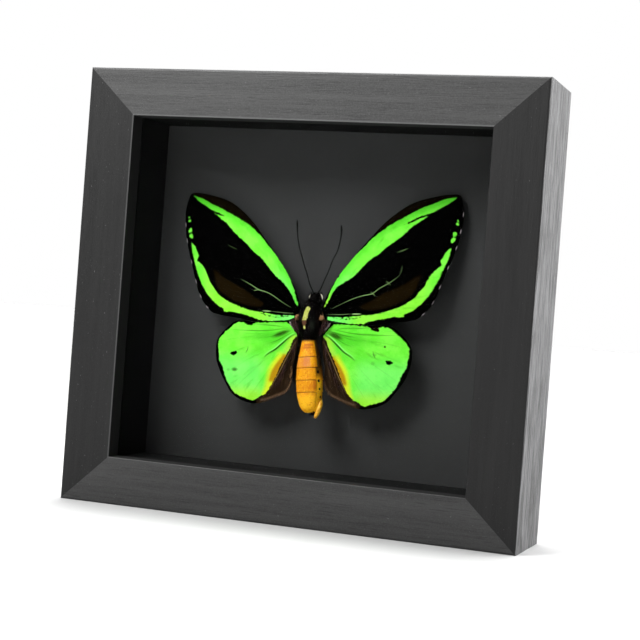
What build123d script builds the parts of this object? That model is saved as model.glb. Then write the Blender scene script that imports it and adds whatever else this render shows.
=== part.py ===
from build123d import *
from math import atan2, degrees, hypot
import os

# Glazed shadow-box case that holds one spread butterfly.
# Millimetres, +Z up, +X to the viewer's right, the glass facing -Y.
# The origin is the middle of the underside, half-way through the moulding's depth.

# Moulding: four rabbeted lengths, mitred at the corners
case_width = 215.0
case_height = 200.0
moulding_depth = 44.0
stile_width = 23.4
rail_width = 21.7
lip_depth = 9.2
rabbet_width = 8.0
outer_round = 1.0
sight_round = 0.5
back_round = 0.5

# V-nails driven across each mitre from behind
v_nail_leg = 4.2
v_nail_gauge = 0.5
v_nail_length = 10.0
v_nail_places = (6.0, 13.0)
v_nail_spread = 45.0

# What the rabbet holds, from front to back
glass_thickness = 2.0
board_thickness = 1.5
panel_thickness = 3.0
panel_recess = 0.2
pane_clearance = 0.5
spacer_setback = 0.5

# Turn buttons and their screws
button_gauge = 1.2
button_pivot_radius = 4.4
button_tip_radius = 2.6
button_reach = 14.0
button_inset = 6.2
button_height_step = 52.0
boss_radius = 3.3
boss_height = 0.9
boss_draft = 0.4
screw_radius = 1.4
screw_head_radius = 2.7
screw_head_height = 1.7
screw_head_draft = 0.8
screw_length = 12.0
screw_point = 3.0
drive_slot = 0.7
drive_depth = 0.9
running_clearance = 0.08
seat_clearance = 0.1
pilot_clearance = 0.05

# Sawtooth hanger and its nails
hanger_length = 45.0
hanger_height = 9.6
hanger_gauge = 0.8
hanger_foot = 8.0
hanger_ramp = 3.0
hanger_rise = 2.0
tooth_pitch = 3.0
tooth_depth = 2.0
hanger_nail_radius = 0.6
hanger_nail_head_radius = 1.5
hanger_nail_head_height = 0.7
hanger_nail_draft = 0.35
hanger_nail_length = 9.0

# Specimen: how it stands in the case
body_standoff = 12.3
body_drop = 7.0
body_offset = -0.8
body_roll = 2.3
body_pitch = 3.6
flesh_gap = 0.3

# Specimen: wings
wing_gauge = 0.4
wing_dish_radius = 685.0
wing_lap = 0.75
forewing_length = 88.0
hindwing_length = 50.0

# Outlines as shares of the wing's length, from the wing root at 0, 0
forewing_costa_shares = [(0.062, 0.045), (0.142, 0.216), (0.290, 0.403), (0.500, 0.592), (0.728, 0.645)]
forewing_apex_shares = [(0.728, 0.645), (0.757, 0.632), (0.771, 0.534)]
forewing_margin_shares = [(0.771, 0.534), (0.752, 0.398), (0.699, 0.244), (0.645, 0.093), (0.563, 0.0)]
forewing_trailing_shares = [(0.563, 0.0), (0.410, -0.024), (0.236, -0.036), (0.062, -0.018)]
hindwing_rim_shares = [
    (0.136, -0.160), (0.205, -0.058), (0.480, -0.040), (0.720, -0.062), (0.880, -0.170),
    (0.945, -0.310), (0.898, -0.520), (0.760, -0.725), (0.500, -0.815), (0.290, -0.745),
    (0.186, -0.580), (0.130, -0.200),
]

# Specimen: body
thorax_radius = 5.3
thorax_front = 5.8
thorax_back = 11.0
neck_radius = 2.2
waist_radius = 3.3
head_radius = 2.9
head_rise = 2.3
head_aside = 1.4
head_deeper = 1.5
eye_radius = 1.6
eye_flat = 2.0
abdomen_length = 33.3
abdomen_radius = 6.0
abdomen_bend = 4.0
# The ring seams and the tail's shoulder, as (share of the length, share of the greatest radius)
abdomen_ring_shares = [(0.0, 0.52), (0.08, 0.62), (0.24, 0.82), (0.39, 0.93), (0.56, 0.98), (0.73, 0.94)]
abdomen_tail_share = (0.92, 0.72)
ring_lap_height = 0.25
clasper_radius = 1.2
clasper_length = 5.6
clasper_lean = 22.0
antenna_radius = 0.28
antenna_club_radius = 0.55
antenna_club_length = 4.5
left_antenna_bow = [(-1.3, 2.66), (-7.8, 18.8), (-11.3, 36.1)]
right_antenna_bow = [(1.0, 2.79), (7.4, 17.9), (10.3, 33.8)]
block_width = 7.0
block_height = 10.0
thorax_glue_depth = 4.2

# Planes that the sizes above settle
front_y = -moulding_depth / 2
back_y = moulding_depth / 2
glass_front_y = front_y + lip_depth
glass_back_y = glass_front_y + glass_thickness
panel_back_y = back_y - panel_recess
panel_front_y = panel_back_y - panel_thickness
board_front_y = panel_front_y - board_thickness
pane_width = case_width - 2 * (stile_width - rabbet_width + pane_clearance)
pane_height = case_height - 2 * (rail_width - rabbet_width + pane_clearance)
spacer_thickness = rabbet_width - pane_clearance - spacer_setback
body_y = board_front_y - body_standoff
body_z = case_height / 2 - body_drop
button_x = case_width / 2 - stile_width + rabbet_width + button_inset
button_top = button_gauge + boss_height + seat_clearance
hanger_z = case_height - (rail_width - rabbet_width) / 2
hanger_hole_x = (hanger_length - hanger_foot) / 2


def corner_of(sketch, x, y):
    """The vertex of a sketch nearest to a point."""
    return sketch.vertices().sort_by_distance((x, y, 0))[0]


def moulding_section(face_width):
    """Section of the moulding: depth along X, face width along Y, rabbet at the back."""
    blank = Pos(0, face_width / 2) * Rectangle(moulding_depth, face_width)
    blank = fillet(corner_of(blank, front_y, 0), outer_round)
    blank = fillet(corner_of(blank, back_y, 0), back_round)
    blank = fillet(corner_of(blank, front_y, face_width), sight_round)
    rabbet_depth = back_y - glass_front_y
    rabbet = Pos(glass_front_y, face_width - rabbet_width) * Rectangle(
        rabbet_depth, rabbet_width, align=(Align.MIN, Align.MIN)
    )
    return blank - rabbet


def mitred_length(length, face_width, neighbour_width):
    """One length of moulding along X, its outer edge on Z = 0 and both ends mitred."""
    bar = extrude(Plane.YZ * moulding_section(face_width), amount=length / 2, both=True)
    inner_half = length / 2 - neighbour_width
    mitre = Polyline(
        (-length / 2, 0), (length / 2, 0), (inner_half, face_width), (-inner_half, face_width),
        close=True,
    )
    return bar & extrude(Plane.XZ * make_face(mitre), amount=moulding_depth, both=True)


def v_nail_corners():
    """All the V-nails: a chevron astride each mitre line, flush with the back."""
    leg = Rectangle(v_nail_leg, v_nail_gauge, align=(Align.MIN, Align.CENTER))
    chevron = Rot(Z=v_nail_spread) * leg + Rot(Z=-v_nail_spread) * leg
    mitre_run = hypot(stile_width, rail_width)
    nails = []
    for side in (-1, 1):
        for end in (-1, 1):
            corner_x = side * case_width / 2
            corner_z = case_height / 2 + end * case_height / 2
            inward_x = -side * stile_width / mitre_run
            inward_z = -end * rail_width / mitre_run
            turn = degrees(atan2(inward_z, inward_x))
            for place in v_nail_places:
                spot = Plane(
                    origin=(corner_x + place * inward_x, back_y, corner_z + place * inward_z),
                    x_dir=(1, 0, 0),
                    z_dir=(0, -1, 0),
                )
                nails.append(extrude(spot * Rot(Z=turn) * chevron, amount=v_nail_length))
    return nails


def on_back(x, z):
    """Plane on the case's back as seen from behind: +X right, +Y up, +Z outward."""
    return Plane(origin=(x, back_y, z), x_dir=(-1, 0, 0), z_dir=(0, 1, 0))


def button_places():
    """Name, X and Z of each turn button's pivot."""
    places = []
    for level, step in (("upper", 1), ("lower", -1)):
        for hand, side in (("left", -1), ("right", 1)):
            height = case_height / 2 + step * button_height_step
            places.append((level + "_" + hand, side * button_x, height))
    return places


def turn_button(x, z):
    """Stamped button with a raised boss round its hole, its long arm over the back panel."""
    inward = 1 if x > 0 else -1
    tip_x = inward * (button_reach - button_tip_radius)
    pads = Circle(button_pivot_radius) + Pos(tip_x, 0) * Circle(button_tip_radius)
    plate = extrude(make_hull(pads.edges()), amount=button_gauge)
    plate = chamfer(plate.faces().sort_by(Axis.Z)[-1].edges(), button_gauge / 4)
    boss = Pos(0, 0, button_gauge) * Cone(
        boss_radius, boss_radius - boss_draft, boss_height, align=(Align.CENTER, Align.CENTER, Align.MIN)
    )
    hole = Cylinder(screw_radius + running_clearance, 4 * button_top)
    return on_back(x, z) * Pos(0, 0, seat_clearance) * (plate + boss - hole)


def button_screw(x, z):
    """Pan-head wood screw through a turn button into the stile."""
    underside = button_top + seat_clearance
    shank = Pos(0, 0, underside) * Cylinder(
        screw_radius, screw_length - screw_point, align=(Align.CENTER, Align.CENTER, Align.MAX)
    )
    point = Pos(0, 0, underside - screw_length) * Cone(
        screw_radius / 8, screw_radius, screw_point, align=(Align.CENTER, Align.CENTER, Align.MIN)
    )
    head = Pos(0, 0, underside) * Cone(
        screw_head_radius, screw_head_radius - screw_head_draft, screw_head_height,
        align=(Align.CENTER, Align.CENTER, Align.MIN),
    )
    slot = Pos(0, 0, underside + screw_head_height) * Box(
        1.2 * screw_head_radius, drive_slot, 2 * drive_depth
    )
    return on_back(x, z) * (head + shank + point - slot - Rot(Z=90) * slot)


def pilot_hole(x, z):
    """What a button screw's hole takes out of the stile."""
    buried = screw_length - button_top - seat_clearance + pilot_clearance
    return on_back(x, z) * Cylinder(
        screw_radius + pilot_clearance, buried, align=(Align.CENTER, Align.CENTER, Align.MAX)
    )


def sawtooth_hanger():
    """Strip raised in the middle, with a row of V notches along its lower edge."""
    half = hanger_length / 2
    ramp_foot = half - hanger_foot
    ramp_top = ramp_foot - hanger_ramp
    under = [
        (-half, 0), (-ramp_foot, 0), (-ramp_top, hanger_rise),
        (ramp_top, hanger_rise), (ramp_foot, 0), (half, 0),
    ]
    over = [(x, y + hanger_gauge) for x, y in reversed(under)]
    strip = extrude(
        Plane.XZ * make_face(Polyline(*under, *over, close=True)), amount=hanger_height / 2, both=True
    )
    notch = make_face(
        Polyline((-tooth_pitch / 2, 0), (tooth_pitch / 2, 0), (0, tooth_depth), close=True)
    )
    count = int(2 * ramp_top / tooth_pitch)
    for i in range(count):
        notch_x = (i - (count - 1) / 2) * tooth_pitch
        strip -= extrude(Pos(notch_x, -hanger_height / 2) * notch, amount=2 * hanger_rise + hanger_gauge)
    for side in (-1, 1):
        strip -= Pos(side * hanger_hole_x, 0) * Cylinder(
            hanger_nail_radius + pilot_clearance, 4 * hanger_gauge
        )
    return on_back(0, hanger_z) * strip


def hanger_nail_hole(side, margin=0.0):
    """Shank of one hanger nail, or with a margin the hole that it sits in."""
    depth = hanger_nail_length - hanger_gauge + margin
    return on_back(side * hanger_hole_x, hanger_z) * Cylinder(
        hanger_nail_radius + margin, depth, align=(Align.CENTER, Align.CENTER, Align.MAX)
    )


def hanger_nail(side):
    """Round-headed nail that holds one end of the hanger."""
    place = on_back(side * hanger_hole_x, hanger_z)
    neck = Cylinder(hanger_nail_radius, hanger_gauge, align=(Align.CENTER, Align.CENTER, Align.MIN))
    head = Pos(0, 0, hanger_gauge) * Cone(
        hanger_nail_head_radius, hanger_nail_head_radius - hanger_nail_draft, hanger_nail_head_height,
        align=(Align.CENTER, Align.CENTER, Align.MIN),
    )
    return place * (neck + head) + hanger_nail_hole(side)


def rabbet_sheet(front, thickness):
    """Glass, board or panel: a sheet that fills the rabbet less its clearance."""
    return Pos(0, front + thickness / 2, case_height / 2) * Box(pane_width, thickness, pane_height)


def spacer(name):
    """One strip of the lining between the glass and the mount board."""
    depth = board_front_y - glass_back_y
    middle_y = (board_front_y + glass_back_y) / 2
    if name in ("top", "bottom"):
        side = 1 if name == "top" else -1
        centre_z = case_height / 2 + side * (pane_height - spacer_thickness) / 2
        return Pos(0, middle_y, centre_z) * Box(pane_width, depth, spacer_thickness)
    side = 1 if name == "right" else -1
    centre_x = side * (pane_width - spacer_thickness) / 2
    return Pos(centre_x, middle_y, case_height / 2) * Box(
        spacer_thickness, depth, pane_height - 2 * spacer_thickness
    )


def in_case(solid):
    """Sets a piece of the specimen, made upright about its thorax, into the case."""
    stance = Pos(body_offset, body_y, body_z) * Rot(Y=-body_roll) * Rot(X=-body_pitch)
    return stance * solid


def thorax_form(margin=0.0):
    """Barrel of the thorax about the Z axis, grown by a margin to make room for it."""
    rim_front, rim_back = thorax_front + margin, -thorax_back - margin
    side = ThreePointArc(
        (neck_radius + margin, rim_front), (thorax_radius + margin, (rim_front + rim_back) / 2),
        (waist_radius + margin, rim_back),
    )
    outline = side + Polyline(
        (waist_radius + margin, rim_back), (0, rim_back), (0, rim_front),
        (neck_radius + margin, rim_front),
    )
    return revolve(Plane.XZ * make_face(outline), Axis.Z)


def thorax():
    """Thorax with a flat on its underside where it is glued to the block."""
    beyond_flat = Pos(body_offset, body_y + thorax_glue_depth, body_z) * Box(
        6 * thorax_radius, 2 * thorax_radius, 6 * thorax_radius,
        align=(Align.CENTER, Align.MIN, Align.CENTER),
    )
    return in_case(thorax_form()) - beyond_flat


def mounting_block():
    """Cork block between the thorax and the mount board."""
    front = body_y + thorax_glue_depth
    return Pos(body_offset, front, body_z - (thorax_back - thorax_front) / 2) * Box(
        block_width, board_front_y - front, block_height, align=(Align.CENTER, Align.MIN, Align.CENTER)
    )


def abdomen():
    """Ringed abdomen, each ring's hem lapped over the next, with a rounded tail and clasper."""
    seams = [(abdomen_radius * r, -abdomen_length * s) for s, r in abdomen_ring_shares]
    skin = [seams[0]]
    for radius, height in seams[1:]:
        skin += [(radius + ring_lap_height, height), (radius, height)]
    shoulder = (abdomen_radius * abdomen_tail_share[1], -abdomen_length * abdomen_tail_share[0])
    tail_end = (clasper_radius / 2, -abdomen_length)
    outline = Polyline(*skin) + ThreePointArc(seams[-1], shoulder, tail_end)
    outline += Polyline(tail_end, (0, -abdomen_length), (0, 0), seams[0])
    barrel = revolve(Plane.XZ * make_face(outline), Axis.Z)
    clasper = Sphere(clasper_radius) + Cone(
        clasper_radius, clasper_radius / 2, clasper_length, align=(Align.CENTER, Align.CENTER, Align.MIN)
    )
    barrel += Pos(shoulder[0], 0, shoulder[1]) * Rot(Y=180 + clasper_lean) * clasper
    beyond_waist = Box(
        4 * abdomen_radius, 4 * abdomen_radius, abdomen_radius,
        align=(Align.CENTER, Align.CENTER, Align.MIN),
    )
    bent = Rot(Y=-abdomen_bend) * barrel - beyond_waist
    return in_case(Pos(0, 0, -thorax_back) * bent)


def head_place():
    """Where the head's own frame sits on the front of the thorax."""
    return Pos(head_aside, head_deeper, thorax_front)


def beside_head(way):
    """Everything beyond the flat that the eye sits on, on one side of the head."""
    return Pos(way * eye_flat, 0, head_rise) * Box(
        2 * head_radius, 4 * head_radius, 4 * head_radius,
        align=(Align.MIN if way > 0 else Align.MAX, Align.CENTER, Align.CENTER),
    )


def head():
    """Rounded head, flat where it meets the thorax and where each eye sits."""
    skull = Pos(0, 0, head_rise) * Sphere(head_radius)
    skull -= Box(
        4 * head_radius, 4 * head_radius, 2 * head_radius,
        align=(Align.CENTER, Align.CENTER, Align.MAX),
    )
    return in_case(head_place() * (skull - beside_head(-1) - beside_head(1)))


def eyes():
    """The two compound eyes, a dome on each side of the head."""
    domes = []
    for way in (-1, 1):
        ball = Pos(way * eye_flat, 0, head_rise) * Sphere(eye_radius)
        domes.append(in_case(head_place() * (ball & beside_head(way))))
    return domes


def antenna(bow_points):
    """One antenna: a bowed filament that thickens to a club."""
    bow = Plane.XZ * ThreePointArc(*bow_points)
    start = bow.location_at(0)
    filament = sweep(start * Circle(antenna_radius), path=bow)
    club_start = 1 - antenna_club_length / bow.length
    club = bow.location_at(club_start) * Cone(
        antenna_radius, antenna_club_radius, antenna_club_length,
        align=(Align.CENTER, Align.CENTER, Align.MIN),
    )
    stalk = filament + club
    return in_case(head_place() * Pos(0, 0, head_rise) * stalk)


def wing(outlines, length, lap, way):
    """One wing: the outline cut from a thin dished sheet, cleared round the thorax."""
    edges = [Spline(*[(way * length * x, length * y) for x, y in points]) for points in outlines]
    closing = Line(edges[-1] @ 1, edges[0] @ 0)
    rim = Wire([e for c in edges + [closing] for e in c.edges()])
    blank = extrude(Plane.XZ * make_face(rim), amount=length, both=True)
    dish = Pos(0, wing_dish_radius + lap, 0)
    sheet = (blank & dish * Sphere(wing_dish_radius)) - dish * Sphere(wing_dish_radius - wing_gauge)
    return in_case(sheet - thorax_form(flesh_gap))


forewing_outlines = (
    forewing_costa_shares, forewing_apex_shares, forewing_margin_shares, forewing_trailing_shares,
)
hindwing_outlines = (hindwing_rim_shares,)

v_nails = v_nail_corners()
bottom_rail = mitred_length(case_width, rail_width, stile_width)
top_rail = Pos(0, 0, case_height) * Rot(Y=180) * bottom_rail
stile = mitred_length(case_height, stile_width, rail_width)
left_stile = Pos(-case_width / 2, 0, case_height / 2) * Rot(Y=90) * stile
right_stile = Pos(case_width / 2, 0, case_height / 2) * Rot(Y=-90) * stile
for button_name, x, z in button_places():
    if x < 0:
        left_stile -= pilot_hole(x, z)
    else:
        right_stile -= pilot_hole(x, z)
for side in (-1, 1):
    top_rail -= hanger_nail_hole(side, pilot_clearance)

nodes = {
    "frame_top_rail": top_rail - v_nails,
    "frame_bottom_rail": bottom_rail - v_nails,
    "frame_left_stile": left_stile - v_nails,
    "frame_right_stile": right_stile - v_nails,
    "corner_v_nails": v_nails,
    "glass_pane": rabbet_sheet(glass_front_y, glass_thickness),
    "mount_board": rabbet_sheet(board_front_y, board_thickness),
    "back_panel": rabbet_sheet(panel_front_y, panel_thickness),
    "turn_button_screws": [button_screw(x, z) for button_name, x, z in button_places()],
    "sawtooth_hanger": sawtooth_hanger(),
    "hanger_nails": [hanger_nail(side) for side in (-1, 1)],
    "mounting_block": mounting_block(),
    "butterfly_thorax": thorax(),
    "butterfly_head": head(),
    "butterfly_eyes": eyes(),
    "butterfly_abdomen": abdomen(),
    "antenna_left": antenna(left_antenna_bow),
    "antenna_right": antenna(right_antenna_bow),
}
for name in ("top", "bottom", "left", "right"):
    nodes["spacer_" + name] = spacer(name)
for button_name, x, z in button_places():
    nodes["turn_button_" + button_name] = turn_button(x, z)
for hand, way in (("left", -1), ("right", 1)):
    nodes["forewing_" + hand] = wing(forewing_outlines, forewing_length, 0, way)
    nodes["hindwing_" + hand] = wing(hindwing_outlines, hindwing_length, wing_lap, way)

os.makedirs("parts", exist_ok=True)
for name, solid in nodes.items():
    shape = Compound(children=list(solid)) if isinstance(solid, list) else solid
    export_step(shape, "parts/" + name + ".step")
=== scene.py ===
"""Looks of a glazed butterfly display case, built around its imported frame.

The case is a mitred box moulding stained black. A spread butterfly stands in it on a cork
block, before a matt black board. Lengths are metres unless a name ends in _mm or _deg, and
the shapes of the wings are drawn in millimetres from the middle of the thorax.
"""

from __future__ import annotations

import logging
import math
import random
from dataclasses import dataclass, field
from enum import Enum
from functools import partial
from typing import Callable, Iterable, Sequence

import bpy
import numpy as np
from mathutils import Matrix, Vector, noise
from mathutils.geometry import delaunay_2d_cdt

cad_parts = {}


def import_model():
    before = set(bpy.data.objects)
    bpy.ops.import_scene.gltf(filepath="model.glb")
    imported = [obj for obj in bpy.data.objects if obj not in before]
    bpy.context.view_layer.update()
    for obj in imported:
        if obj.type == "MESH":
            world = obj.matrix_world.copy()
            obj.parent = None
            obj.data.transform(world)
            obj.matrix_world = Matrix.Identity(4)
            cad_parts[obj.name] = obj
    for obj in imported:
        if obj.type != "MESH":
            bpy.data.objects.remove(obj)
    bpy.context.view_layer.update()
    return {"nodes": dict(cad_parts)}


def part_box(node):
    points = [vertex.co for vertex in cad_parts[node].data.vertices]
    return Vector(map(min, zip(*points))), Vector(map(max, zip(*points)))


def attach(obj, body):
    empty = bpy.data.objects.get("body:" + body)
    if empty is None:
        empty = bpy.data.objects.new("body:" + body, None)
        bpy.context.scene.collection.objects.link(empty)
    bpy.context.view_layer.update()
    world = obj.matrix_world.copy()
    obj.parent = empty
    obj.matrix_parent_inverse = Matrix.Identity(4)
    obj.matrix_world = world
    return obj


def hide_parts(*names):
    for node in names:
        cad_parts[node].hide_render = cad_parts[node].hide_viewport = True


log = logging.getLogger("display_case")

MM = 0.001
CASE_BODY = "case"

# What brings the case's middle to the origin, and the opening that the moulding frames.
CASE_MIDDLE = (0.0, 0.0, -0.1)
SIGHT_WIDE = 168.2 * MM
SIGHT_HIGH = 156.6 * MM

# How far out along its normal a side of the moulding lies from the case's middle, in metres,
# where it starts and ends to count as an outer side, or as one that looks into the case.
OUTER_SIDE = (0.082, 0.096)
INNER_SIDE = (-0.04, -0.07)

Point = tuple[float, float]
Colour = tuple[float, float, float]
Place = tuple[float, float, float]
Socket = bpy.types.NodeSocket
Thing = bpy.types.Object


class Hand(Enum):
    """The viewer's left or right side of the specimen."""

    LEFT = -1
    RIGHT = 1

    @property
    def label(self) -> str:
        """The side's name as the nodes use it."""
        return self.name.lower()


class Grain(Enum):
    """The way that the fibres of a length of moulding run."""

    LEVEL = (0, 1, 2)
    UPRIGHT = (2, 1, 0)


class Line(Enum):
    """A kind of fine line on a wing, by the name of the value that holds its strength."""

    # A crease line is painted shade along a fold, and a sheen line a painted highlight beside one.
    CREASE = "crease"
    SHEEN = "sheen_line"
    VEIN = "vein"
    PIN = "pin"
    FRINGE = "fringe"


def rgb(red: int, green: int, blue: int) -> Colour:
    """Turns a colour on screen, 0 to 255, into the linear one that shaders use."""
    shares = (red / 255, green / 255, blue / 255)
    return tuple(c / 12.92 if c <= 0.04045 else ((c + 0.055) / 1.055) ** 2.4 for c in shares)


def grey(level: float) -> Colour:
    """Gives a neutral linear colour."""
    return level, level, level


# ---- materials


class Graph:
    """A material's node tree, with short calls that add and join its nodes."""

    def __init__(self, name: str) -> None:
        """Starts an empty tree that ends in a Principled shader.

        Args:
            name: The material's name.
        """
        self.material = bpy.data.materials.new(name)
        self.material.use_nodes = True
        self.tree = self.material.node_tree
        self.tree.nodes.clear()
        self.output = self.tree.nodes.new("ShaderNodeOutputMaterial")
        self.shader = self.tree.nodes.new("ShaderNodeBsdfPrincipled")
        self.join(self.shader.outputs[0], self.output.inputs["Surface"])

    def add(self, kind: str, **settings: object) -> bpy.types.Node:
        """Adds a node.

        Args:
            kind: The node's type name.
            **settings: Attributes to set on it.

        Returns:
            The node.
        """
        node = self.tree.nodes.new(kind)
        for key, value in settings.items():
            setattr(node, key, value)
        return node

    def join(self, source: Socket, target: Socket) -> None:
        """Links an output to an input."""
        self.tree.links.new(source, target)

    def feed(self, target: Socket, value: object) -> None:
        """Links a socket to an input, or sets the input to a plain value.

        Args:
            target: The input.
            value: A socket, a number or a colour.
        """
        if isinstance(value, Socket):
            self.join(value, target)
        elif isinstance(value, tuple) and len(value) == 3 and target.type == "RGBA":
            target.default_value = (*value, 1.0)
        else:
            target.default_value = value

    def place(self, stretch: Sequence[float], shift: Sequence[float] = (0, 0, 0)) -> Socket:
        """Gives the object's own coordinates in millimetres, scaled, then shifted."""
        source = self.add("ShaderNodeTexCoord").outputs["Object"]
        return self.scaled(source, [s / MM for s in stretch], shift)

    def scaled(
        self, source: Socket, stretch: Sequence[float], shift: Sequence[float] = (0, 0, 0)
    ) -> Socket:
        """Scales and shifts a vector.

        Args:
            source: The vector.
            stretch: What each coordinate is multiplied by.
            shift: What is added to each afterwards.

        Returns:
            The new vector.
        """
        mapping = self.add("ShaderNodeMapping")
        mapping.inputs["Scale"].default_value = stretch
        mapping.inputs["Location"].default_value = shift
        self.join(source, mapping.inputs["Vector"])
        return mapping.outputs[0]

    def noise(
        self, at: Socket, scale: float, detail: float = 3.0, roughness: float = 0.55
    ) -> Socket:
        """Adds fractal noise.

        Args:
            at: The coordinates.
            scale: Features per unit.
            detail: Octaves.
            roughness: How strong the finer octaves are.

        Returns:
            The noise, 0 to 1.
        """
        node = self.add("ShaderNodeTexNoise")
        self.join(at, node.inputs["Vector"])
        node.inputs["Scale"].default_value = scale
        node.inputs["Detail"].default_value = detail
        node.inputs["Roughness"].default_value = roughness
        return node.outputs[0]

    def cells(self, at: Socket, scale: float) -> Socket:
        """Adds cells.

        Args:
            at: The coordinates.
            scale: Cells per unit.

        Returns:
            The distance from the nearest cell's middle.
        """
        node = self.add("ShaderNodeTexVoronoi")
        self.join(at, node.inputs["Vector"])
        node.inputs["Scale"].default_value = scale
        return node.outputs["Distance"]

    def span(
        self, value: object, low: float, high: float, to_low: float = 0.0, to_high: float = 1.0
    ) -> Socket:
        """Maps a range smoothly to another, clamped.

        Args:
            value: The value.
            low: The start of its range.
            high: The end of its range.
            to_low: What low becomes.
            to_high: What high becomes.

        Returns:
            The mapped value.
        """
        node = self.add("ShaderNodeMapRange", interpolation_type="SMOOTHSTEP")
        for key, number in (("Value", value), ("From Min", low), ("From Max", high)):
            self.feed(node.inputs[key], number)
        self.feed(node.inputs["To Min"], to_low)
        self.feed(node.inputs["To Max"], to_high)
        return node.outputs[0]

    def math(self, operation: str, first: object, second: object = 0.0) -> Socket:
        """Works out one step of arithmetic.

        Args:
            operation: The step, by Blender's name for it.
            first: The first value.
            second: The second value.

        Returns:
            The result.
        """
        node = self.add("ShaderNodeMath", operation=operation)
        self.feed(node.inputs[0], first)
        self.feed(node.inputs[1], second)
        return node.outputs[0]

    def plus(self, first: object, second: object) -> Socket:
        """Adds two values."""
        return self.math("ADD", first, second)

    def times(self, first: object, second: object) -> Socket:
        """Multiplies two values."""
        return self.math("MULTIPLY", first, second)

    def blend(self, share: object, first: object, second: object, way: str = "MIX") -> Socket:
        """Mixes two colours.

        Args:
            share: How much of the second shows.
            first: The first colour.
            second: The second colour.
            way: The blend type.

        Returns:
            The mixed colour.
        """
        node = self.add("ShaderNodeMix", data_type="RGBA", blend_type=way)
        self.feed(node.inputs[0], share)
        self.feed(node.inputs[6], first)
        self.feed(node.inputs[7], second)
        return node.outputs[2]

    def attribute(self, name: str, vector: bool = False) -> Socket:
        """Reads a value that the mesh holds at its points."""
        node = self.add("ShaderNodeAttribute", attribute_name=name)
        return node.outputs["Vector"] if vector else node.outputs["Fac"]

    def relief(self, height: object, depth_mm: float, strength: float = 1.0) -> None:
        """Bumps the shader's normal.

        Args:
            height: The height, 0 to 1.
            depth_mm: What a height of 1 stands for.
            strength: How much of it shows.
        """
        node = self.add("ShaderNodeBump")
        self.feed(node.inputs["Height"], height)
        node.inputs["Distance"].default_value = depth_mm * MM
        node.inputs["Strength"].default_value = strength
        self.join(node.outputs[0], self.shader.inputs["Normal"])

    def paint(self, colour: object, roughness: object = 0.5, **constants: object) -> None:
        """Sets the shader's colour, roughness and constants.

        Args:
            colour: The base colour, plain or from nodes.
            roughness: The roughness, plain or from nodes.
            **constants: Other inputs by name, with _ for each space.
        """
        self.feed(self.shader.inputs["Base Color"], colour)
        self.feed(self.shader.inputs["Roughness"], roughness)
        for key, value in constants.items():
            self.feed(self.shader.inputs[key.replace("_", " ")], value)


@dataclass(frozen=True)
class Finish:
    """A surface finish, made into a material once and then shared.

    It has the material's name and the record's slot that the finish belongs to.
    """

    name: str
    slot: str

    def material(self) -> bpy.types.Material:
        """Gives the finish's material, which is made on the first call.

        Returns:
            The material.
        """
        made = bpy.data.materials.get(self.name)
        if made is None:
            graph = Graph(self.name)
            self.lay(graph)
            made = graph.material
        return made

    def lay(self, graph: Graph) -> None:
        """Builds the finish's nodes in a material's tree."""
        raise NotImplementedError


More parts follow.
